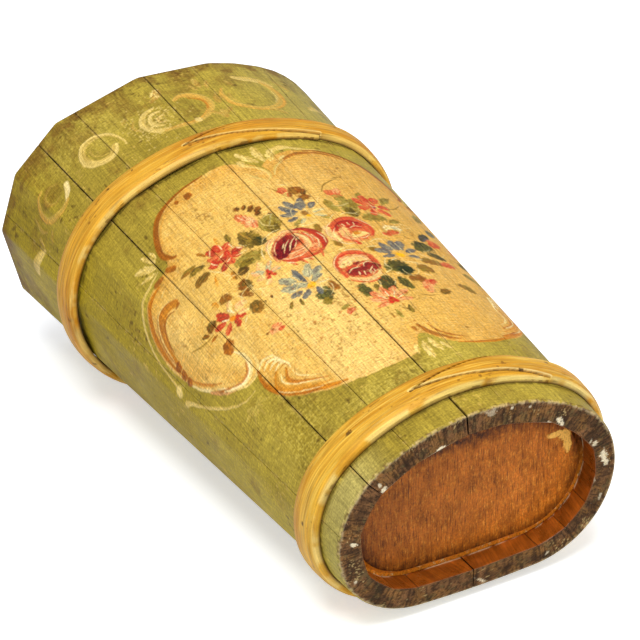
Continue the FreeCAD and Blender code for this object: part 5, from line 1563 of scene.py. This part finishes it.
def finish_material(tree, colour, roughness, height, depth, surface):
    """Ends a material: a principled surface with its bump of so many millimetres."""
    bump = add_node(tree, "Bump", {"Strength": 1.0, "Distance": depth * MM, "Height": height})
    inputs = {"Base Color": colour, "Roughness": roughness, "Normal": bump, **surface}
    add_node(tree, "OutputMaterial", {"Surface": add_node(tree, "BsdfPrincipled", inputs)})


def stretched_noise(tree, source, size, detail=2.0, rough=0.5):
    """Noise whose features are about so many millimetres across along each axis."""
    placed = add_node(tree, "Mapping", {"Vector": source, "Scale": tuple(1.0 / (s * MM) for s in size)})
    return add_node(tree, "TexNoise", {"Vector": placed, "Scale": 1.0, "Detail": detail, "Roughness": rough},
                    "Fac")


def shaded(tree, colour, *patterns):
    """Colour darkened and lightened by patterns, each given with its darkest and brightest light."""
    for pattern, dark, bright in patterns:
        light = add_node(tree, "MapRange", (pattern, *NOISE_SPAN, dark, bright))
        colour = add_node(tree, "VectorMath", {0: colour, "Scale": light}, operation="SCALE")
    return colour


def layered(tree, colour, *layers):
    """Colour under layers of others, each with its pattern, where that starts and is full, and its most."""
    for code, pattern, start, full, most in layers:
        share = add_node(tree, "MapRange", (pattern, start, full, 0.0, most))
        colour = add_node(tree, "Mix", {0: share, 6: colour, 7: linear(code)}, 2, data_type="RGBA")
    return colour


def piled(tree, *patterns):
    """Height of patterns laid over each other, each given with its share."""
    height = 0.0
    for pattern, share in patterns:
        height = add_node(tree, "Math", (pattern, share, height), operation="MULTIPLY_ADD")
    return height


def skin(tree):
    """The unrolled place and the colour that dress() laid on a piece."""
    unrolled = add_node(tree, "UVMap", uv_map="unrolled")
    paint = add_node(tree, "Attribute", output="Color", attribute_name="paint")
    return unrolled, paint


def oil_paint():
    """Oil paint on planed pine: brushed along the staves over a rubbed-down ground, aged varnish gives it a
    satin gloss, and fine grain and cross sanding show through as weave-like lines."""
    material, tree = new_material("aged_oil_paint_on_pine")
    unrolled, paint = skin(tree)
    relief = add_node(tree, "Attribute", output="Fac", attribute_name="relief")
    along = stretched_noise(tree, unrolled, (0.9, 18, 1), 3.0)
    across = stretched_noise(tree, unrolled, (10, 0.9, 1), 2.0)
    grit = stretched_noise(tree, unrolled, (1.3, 1.3, 1), 3.0, 0.65)
    soft = stretched_noise(tree, unrolled, (24, 40, 1), 3.0)
    colour = shaded(tree, paint, (along, 0.78, 1.20), (across, 0.84, 1.14), (grit, 0.72, 1.25))
    roughness = add_node(tree, "Math", (add_node(tree, "MapRange", (grit, *NOISE_SPAN, 0.40, 0.52)),
                                        add_node(tree, "MapRange", (soft, 0.35, 0.65, -0.04, 0.08))),
                                        operation="ADD")
    height = piled(tree, (relief, 1.0), (along, 0.10), (across, 0.06), (grit, 0.05))
    finish_material(tree, colour, roughness, height, 1.0, {"IOR": 1.48, "Specular IOR Level": 0.12})
    return material


def stave_end():
    """Sawn pine end grain, stained by floors and damp: dull, open-pored and dirty brown."""
    material, tree = new_material("weathered_end_grain")
    place = add_node(tree, "TexCoord", output="Object")
    paint = add_node(tree, "Attribute", output="Color", attribute_name="paint")
    pores = stretched_noise(tree, place, (0.7, 0.7, 0.7), 3.0, 0.65)
    broad = stretched_noise(tree, place, (6, 6, 6), 3.0)
    colour = shaded(tree, paint, (pores, 0.70, 1.28), (broad, 0.85, 1.12))
    roughness = add_node(tree, "MapRange", (pores, *NOISE_SPAN, 0.6, 0.85))
    finish_material(tree, colour, roughness, piled(tree, (pores, 1.0), (broad, 0.8)), 0.8,
                    {"IOR": 1.5, "Specular IOR Level": 0.12})
    return material


def varnished_inside():
    """Inner faces of the staves, brown stain under old shellac: warm, glossy and streaked along the grain."""
    material, tree = new_material("shellacked_pine")
    unrolled, paint = skin(tree)
    grain = stretched_noise(tree, unrolled, (1.2, 22, 1), 3.0)
    blot = stretched_noise(tree, unrolled, (9, 9, 1), 3.0)
    colour = shaded(tree, paint, (grain, 0.72, 1.2), (blot, 0.7, 1.2))
    roughness = add_node(tree, "MapRange", (blot, *NOISE_SPAN, 0.22, 0.42))
    finish_material(tree, colour, roughness, piled(tree, (grain, 1.0), (blot, 1.0)), 0.25,
                    {"IOR": 1.5, "Specular IOR Level": 0.45})
    return material


def hoop_wood():
    """Split and shaved ash, bent green and oiled: long fine grain along the strip, silky where rubbed."""
    material, tree = new_material("oiled_bent_ash")
    unrolled, paint = skin(tree)
    relief = add_node(tree, "Attribute", output="Fac", attribute_name="relief")
    fibre = stretched_noise(tree, unrolled, (22, 0.9, 1), 3.0, 0.6)
    figure = stretched_noise(tree, unrolled, (60, 3.5, 1), 2.0)
    grit = stretched_noise(tree, unrolled, (1.0, 0.8, 1), 2.0)
    colour = shaded(tree, paint, (fibre, 0.76, 1.16), (figure, 0.86, 1.10), (grit, 0.94, 1.05))
    roughness = add_node(tree, "MapRange", (fibre, *NOISE_SPAN, 0.34, 0.48))
    height = piled(tree, (relief, 1.0), (fibre, 0.22), (grit, 0.05))
    finish_material(tree, colour, roughness, height, 1.0, {"IOR": 1.5, "Specular IOR Level": 0.14})
    return material


# The middle of the board's face in the frame, in metres
BOARD_MIDDLE = tuple(MM * (place + rise) for place, rise in
                     zip(FOOT_PLACE, (-BOARD_FACE_DEPTH * math.cos(SLOPE), 0,
                                      BOARD_FACE_DEPTH * math.sin(SLOPE))))


def upright_place(tree):
    """Object coordinates turned to the vessel's own, in metres from the middle of the board's face."""
    place = add_node(tree, "TexCoord", output="Object")
    moved = add_node(tree, "VectorMath", (place, BOARD_MIDDLE), operation="SUBTRACT")
    return add_node(tree, "CombineXYZ", [add_node(tree, "VectorMath", (moved, tuple(axis)), "Value",
                                                  operation="DOT_PRODUCT")
                                         for axis in (UPRIGHT_X, UPRIGHT_Y, UPRIGHT_Z)])


def spot(tree, place, x, y, reach_x, reach_y):
    """Share from 1 at a place on the board to 0 beyond its reach, in millimetres."""
    mapped = add_node(tree, "Mapping", {"Vector": place, "Location": (-x / reach_x, -y / reach_y, 0.0),
                                        "Scale": (1000 / reach_x, 1000 / reach_y, 0.0)}, vector_type="POINT")
    far = add_node(tree, "VectorMath", (mapped,), "Value", operation="LENGTH")
    return add_node(tree, "MapRange", (far, 0.0, 1.0, 1.0, 0.0))


def base_wood():
    """Pine boards under red-brown stain and shellac: grain from front to back, dark along the edge and to the
    left from dirt and painted shade, brighter to the right as painted light, worn to bare golden wood on the
    bevel with painted glints."""
    material, tree = new_material("stained_pine_board")
    place = upright_place(tree)
    fibre = stretched_noise(tree, place, (0.8, 10, 10), 4.0, 0.65)
    pale = stretched_noise(tree, place, (1.2, 7, 7), 4.0, 0.7)
    grain = stretched_noise(tree, place, (2.2, 34, 34), 3.0, 0.6)
    blot = stretched_noise(tree, place, (13, 17, 17), 5.0, 0.6)
    mottle = stretched_noise(tree, place, (3.4, 5, 5), 4.0, 0.65)
    grit = stretched_noise(tree, place, (1.1, 1.6, 1.6), 3.0, 0.65)
    across, to_back, up = (add_node(tree, "SeparateXYZ", (place,), axis) for axis in range(3))
    # Stain, streaked and blotched
    colour = layered(tree, linear("#c46c1a"), ("#9c5410", blot, 0.38, 0.62, 1.0),
                     ("#d8862a", mottle, 0.52, 0.70, 0.65),
                     ("#5e2c08", grain, 0.54, 0.70, 0.5), ("#4c2206", fibre, 0.52, 0.66, 0.8),
                     ("#e89a3c", pale, 0.55, 0.70, 0.7))
    # Dirt and painted shade along the rim and to the left; the rim is as far as this from the board's middle
    # line
    core = add_node(tree, "VectorMath", (place, (0.035, 0.0, 0.0)), operation="MINIMUM")
    core = add_node(tree, "VectorMath", (core, (-0.035, 0.0, 0.0)), operation="MAXIMUM")
    flat = add_node(tree, "VectorMath", (place, (1.0, 1.0, 0.0)), operation="MULTIPLY")
    rim = add_node(tree, "VectorMath", (flat, core), "Value", operation="DISTANCE")
    by_rim = add_node(tree, "MapRange", (rim, 0.030, 0.0400, 0.0, 1.4))
    broken = add_node(tree, "MapRange", (mottle, 0.3, 0.65, 1.0, 0.3))
    to_left = add_node(tree, "MapRange", (across, 0.02, -0.07, 0.0, 0.42))
    rim_dirt_and_shade = add_node(tree, "Math", (by_rim, broken, to_left), operation="MULTIPLY_ADD")
    rim_dirt_and_shade = add_node(tree, "Math", (rim_dirt_and_shade, 0.85), operation="MULTIPLY")
    colour = add_node(tree, "Mix", {0: rim_dirt_and_shade, 6: colour, 7: linear("#351805")}, 2, data_type="RGBA")
    # A hook-shaped rubbed place
    hook = spot(tree, place, 64.4, -13.5, 4.6, 9.5)
    for patch in ((57, -22.4, 9, 3.6), (62.4, -20.4, 6.6, 6.2)):
        hook = add_node(tree, "Math", (hook, spot(tree, place, *patch)), operation="MAXIMUM")
    ragged = add_node(tree, "MapRange", (mottle, *NOISE_SPAN, -0.2, 0.2))
    hook = add_node(tree, "Math", (hook, ragged), operation="ADD")
    colour = layered(tree, colour, ("#f2bc58", hook, 0.34, 0.52, 0.95))
    # Bare wood where the bevel at the back is scraped, its pale specks painted glints
    scraped = add_node(tree, "MapRange", (grit, 0.35, 0.6, 0.85, 1.0))
    for pattern, start, full in ((up, 0.0002, 0.0008), (to_back, -0.01, 0.02)):
        share = add_node(tree, "MapRange", (pattern, start, full, 0.0, 1.0))
        scraped = add_node(tree, "Math", (scraped, share), operation="MULTIPLY")
    bare = layered(tree, linear("#f09428"), ("#ffdc96", mottle, 0.56, 0.66, 1.0))
    colour = add_node(tree, "Mix", {0: scraped, 6: colour, 7: bare}, 2, data_type="RGBA")
    colour = shaded(tree, colour, (grit, 0.68, 1.30))
    # Painted light: the board is made brighter towards its right side
    painted_light_to_right = add_node(tree, "MapRange", (across, 0.005, 0.05, 1.0, 1.14))
    colour = add_node(tree, "VectorMath", {0: colour, "Scale": painted_light_to_right}, operation="SCALE")
    roughness = add_node(tree, "MapRange", (blot, *NOISE_SPAN, 0.36, 0.54))
    finish_material(tree, colour, roughness, piled(tree, (fibre, 1.0), (grit, 0.5)), 0.35,
                    {"IOR": 1.5, "Specular IOR Level": 0.16})
    return material


def dowel_wood():
    """Bare birch dowels, hidden in the joint between the boards."""
    material, tree = new_material("bare_birch")
    place = upright_place(tree)
    grain = stretched_noise(tree, place, (14, 0.6, 0.6), 3.0)
    colour = layered(tree, linear("#c9a878"), ("#a98350", grain, 0.35, 0.65, 1.0))
    roughness = add_node(tree, "MapRange", (grain, *NOISE_SPAN, 0.5, 0.65))
    finish_material(tree, colour, roughness, grain, 0.2, {"IOR": 1.5})
    return material


# Add-on


class VesselSizes(bpy.types.PropertyGroup):
    paint_pitch: bpy.props.FloatProperty(
        name="Paint pitch", description="Distance between the points that carry the brushwork",
        default=0.56 * MM, min=0.3 * MM, max=4 * MM, unit="LENGTH", subtype="DISTANCE")
    board_edge: bpy.props.FloatProperty(
        name="Board edge", description="Rounding of the base boards' edges",
        default=0.45 * MM, min=0.0, max=2 * MM, unit="LENGTH", subtype="DISTANCE")


class VesselStage(bpy.types.PropertyGroup):
    floor_colour: bpy.props.FloatVectorProperty(
        name="Floor", description="Colour of the plain floor", default=(0.9, 0.9, 0.9), min=0, max=1,
        subtype="COLOR")
    key_power: bpy.props.FloatProperty(
        name="Main lamp", description="Power of the large soft lamp above", default=26.5, min=0, unit="POWER")
    fill_power: bpy.props.FloatProperty(
        name="Side lamp", description="Power of the soft lamp beside the foot", default=5.0, min=0,
        unit="POWER")


class VESSEL_OT_staves(bpy.types.Operator):
    """Wraps the fifteen staves in their painted skin"""
    bl_idname = "vessel.add_staves"
    bl_label = "Painted Staves"

    def execute(self, context):
        sizes = context.scene.vessel_sizes
        ground = painted_wall()
        materials = [oil_paint(), stave_end(), varnished_inside()]
        fine = sizes.paint_pitch / MM
        for number in range(1, len(SEAMS) + 1):
            make_stave(number, ground, materials, fine if number in SEEN_STAVES else None)
        return {"FINISHED"}


class VESSEL_OT_hoops(bpy.types.Operator):
    """Lays the two bent wooden hoops round the staves"""
    bl_idname = "vessel.add_hoops"
    bl_label = "Bent Hoops"

    def execute(self, context):
        wood = hoop_wood()
        make_hoop("bent_hoop_lower", "lower_hoop", lock=LOWER_LOCK, blunt=8.0, seed=1, material=wood,
                  hues=((1.04, 1.13, 1.12), (0.99, 1.10, 0.98), (1.13, 1.30, 1.50)),
                  specks=[(-66, 0.55, 2.4), (62, 0.7, 1.6), (38, 0.22, 2.0), (-120, 0.4, 1.6)], **LOWER_HOOP)
        make_hoop("bent_hoop_upper", "upper_hoop", lock=UPPER_LOCK, blunt=0.5, seed=2, material=wood,
                  hues=((1.0, 1.0, 0.85), (0.98, 0.98, 0.75), (1.06, 1.07, 0.82)),
                  specks=[(-80, 0.75, 1.6), (-62, 0.74, 1.2), (-1, 0.62, 1.0), (78, 0.7, 1.3)], **UPPER_HOOP)
        return {"FINISHED"}


class VESSEL_OT_base(bpy.types.Operator):
    """Eases the edges of the two base boards and stains them"""
    bl_idname = "vessel.add_base"
    bl_label = "Base Boards"

    def execute(self, context):
        stained = base_wood()
        for node in ("base_board_wide", "base_board_narrow"):
            deselected()
            source = frame["nodes"][node]
            source.select_set(True)
            context.view_layer.objects.active = source
            bpy.ops.object.duplicate()
            piece = context.object
            piece.name = piece.data.name = node.replace("base_board", "stained_board")
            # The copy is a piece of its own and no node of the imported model
            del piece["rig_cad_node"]
            bpy.ops.object.mode_set(mode="EDIT")
            bpy.ops.mesh.select_all(action="SELECT")
            bpy.ops.mesh.remove_doubles(threshold=0.00001)
            bpy.ops.mesh.dissolve_limited(angle_limit=math.radians(2))
            bpy.ops.mesh.normals_make_consistent(inside=False)
            bpy.ops.object.mode_set(mode="OBJECT")
            bevel = piece.modifiers.new("eased edges", "BEVEL")
            bevel.width = context.scene.vessel_sizes.board_edge
            bevel.segments = 2
            bevel.limit_method = "ANGLE"
            bevel.angle_limit = math.radians(28)
            bpy.ops.object.modifier_apply(modifier=bevel.name)
            bpy.ops.object.shade_smooth_by_angle(angle=math.radians(28))
            piece.data.materials.clear()
            piece.data.materials.append(stained)
            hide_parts(node)
            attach(piece, "root")
        birch = dowel_wood()
        for node in ("base_dowel_1", "base_dowel_2"):
            mesh = frame["nodes"][node].data
            mesh.materials.clear()
            mesh.materials.append(birch)
        return {"FINISHED"}


class VESSEL_OT_stage(bpy.types.Operator):
    """Sets up the plain floor, the soft lamps and the camera"""
    bl_idname = "vessel.add_stage"
    bl_label = "Stage"

    def execute(self, context):
        settings = context.scene.vessel_stage
        deselected()
        bpy.ops.mesh.primitive_plane_add(size=12.0, location=(0, 0, 0))
        floor = context.object
        floor.name = "floor"
        material, tree = new_material("matt_paper_sweep")
        seen = add_node(tree, "LightPath", output="Is Camera Ray")
        plain = add_node(tree, "BsdfDiffuse", {"Color": (*settings.floor_colour, 1.0)})
        bright = add_node(tree, "BsdfDiffuse", {"Color": (0.94, 0.97, 1.0, 1.0)})
        lift = add_node(tree, "Emission", {"Color": WHITE, "Strength": 0.50})
        lifted = add_node(tree, "AddShader", (bright, lift))
        add_node(tree, "OutputMaterial", {"Surface": add_node(tree, "MixShader", (seen, plain, lifted))})
        floor.data.materials.append(material)

        world = bpy.data.worlds.new("studio")
        context.scene.world = world
        world.use_nodes = True
        tree = world.node_tree
        tree.nodes.clear()
        seen = add_node(tree, "LightPath", output="Is Camera Ray")
        soft = add_node(tree, "Background", {"Color": WHITE, "Strength": 0.40})
        plain = add_node(tree, "Background", {"Color": WHITE, "Strength": 1.0})
        add_node(tree, "OutputWorld", {"Surface": add_node(tree, "MixShader", (seen, soft, plain))})

        self.lamp("main_lamp", power=settings.key_power, **MAIN_LAMP)
        self.lamp("side_lamp", power=settings.fill_power, **SIDE_LAMP)
        camera = bpy.data.objects.new("camera", bpy.data.cameras.new("camera"))
        context.collection.objects.link(camera)
        camera.data.sensor_width = 36.0
        camera.data.lens = CAMERA_LENS
        camera.data.clip_start, camera.data.clip_end = 0.05, 50.0
        turned = Matrix((CAMERA_RIGHT, CAMERA_UP, CAMERA_BACK)).transposed().to_4x4()
        camera.matrix_world = Matrix.Translation(CAMERA_PLACE) @ turned
        context.scene.camera = camera
        context.scene.view_settings.view_transform = "Standard"
        return {"FINISHED"}

    def lamp(self, name, place, size, power):
        data = bpy.data.lights.new(name, "AREA")
        data.shape = "DISK"
        data.size = size
        data.energy = power
        lamp = bpy.data.objects.new(name, data)
        bpy.context.collection.objects.link(lamp)
        lamp.location = place
        lamp.rotation_euler = (Vector(place) - Vector(LAMP_AIM)).to_track_quat("Z", "Y").to_euler()


class VESSEL_PT_panel(bpy.types.Panel):
    bl_idname = "VESSEL_PT_panel"
    bl_label = "Coopered Vessel"
    bl_space_type = "VIEW_3D"
    bl_region_type = "UI"
    bl_category = "Vessel"

    def draw(self, context):
        for group in (context.scene.vessel_sizes, context.scene.vessel_stage):
            for name in group.bl_rna.properties.keys():
                if name not in ("rna_type", "name"):
                    self.layout.prop(group, name)
        for operator in OPERATORS:
            self.layout.operator(operator.bl_idname)


OPERATORS = (VESSEL_OT_staves, VESSEL_OT_hoops, VESSEL_OT_base, VESSEL_OT_stage)
CLASSES = (VesselSizes, VesselStage) + OPERATORS + (VESSEL_PT_panel,)


def register():
    for item in CLASSES:
        bpy.utils.register_class(item)
    bpy.types.Scene.vessel_sizes = bpy.props.PointerProperty(type=VesselSizes)
    bpy.types.Scene.vessel_stage = bpy.props.PointerProperty(type=VesselStage)


def unregister():
    del bpy.types.Scene.vessel_sizes
    del bpy.types.Scene.vessel_stage
    for item in reversed(CLASSES):
        bpy.utils.unregister_class(item)


def main():
    register()
    bpy.ops.vessel.add_staves()
    bpy.ops.vessel.add_hoops()
    bpy.ops.vessel.add_base()
    bpy.ops.vessel.add_stage()


if __name__ == "__main__":
    main()
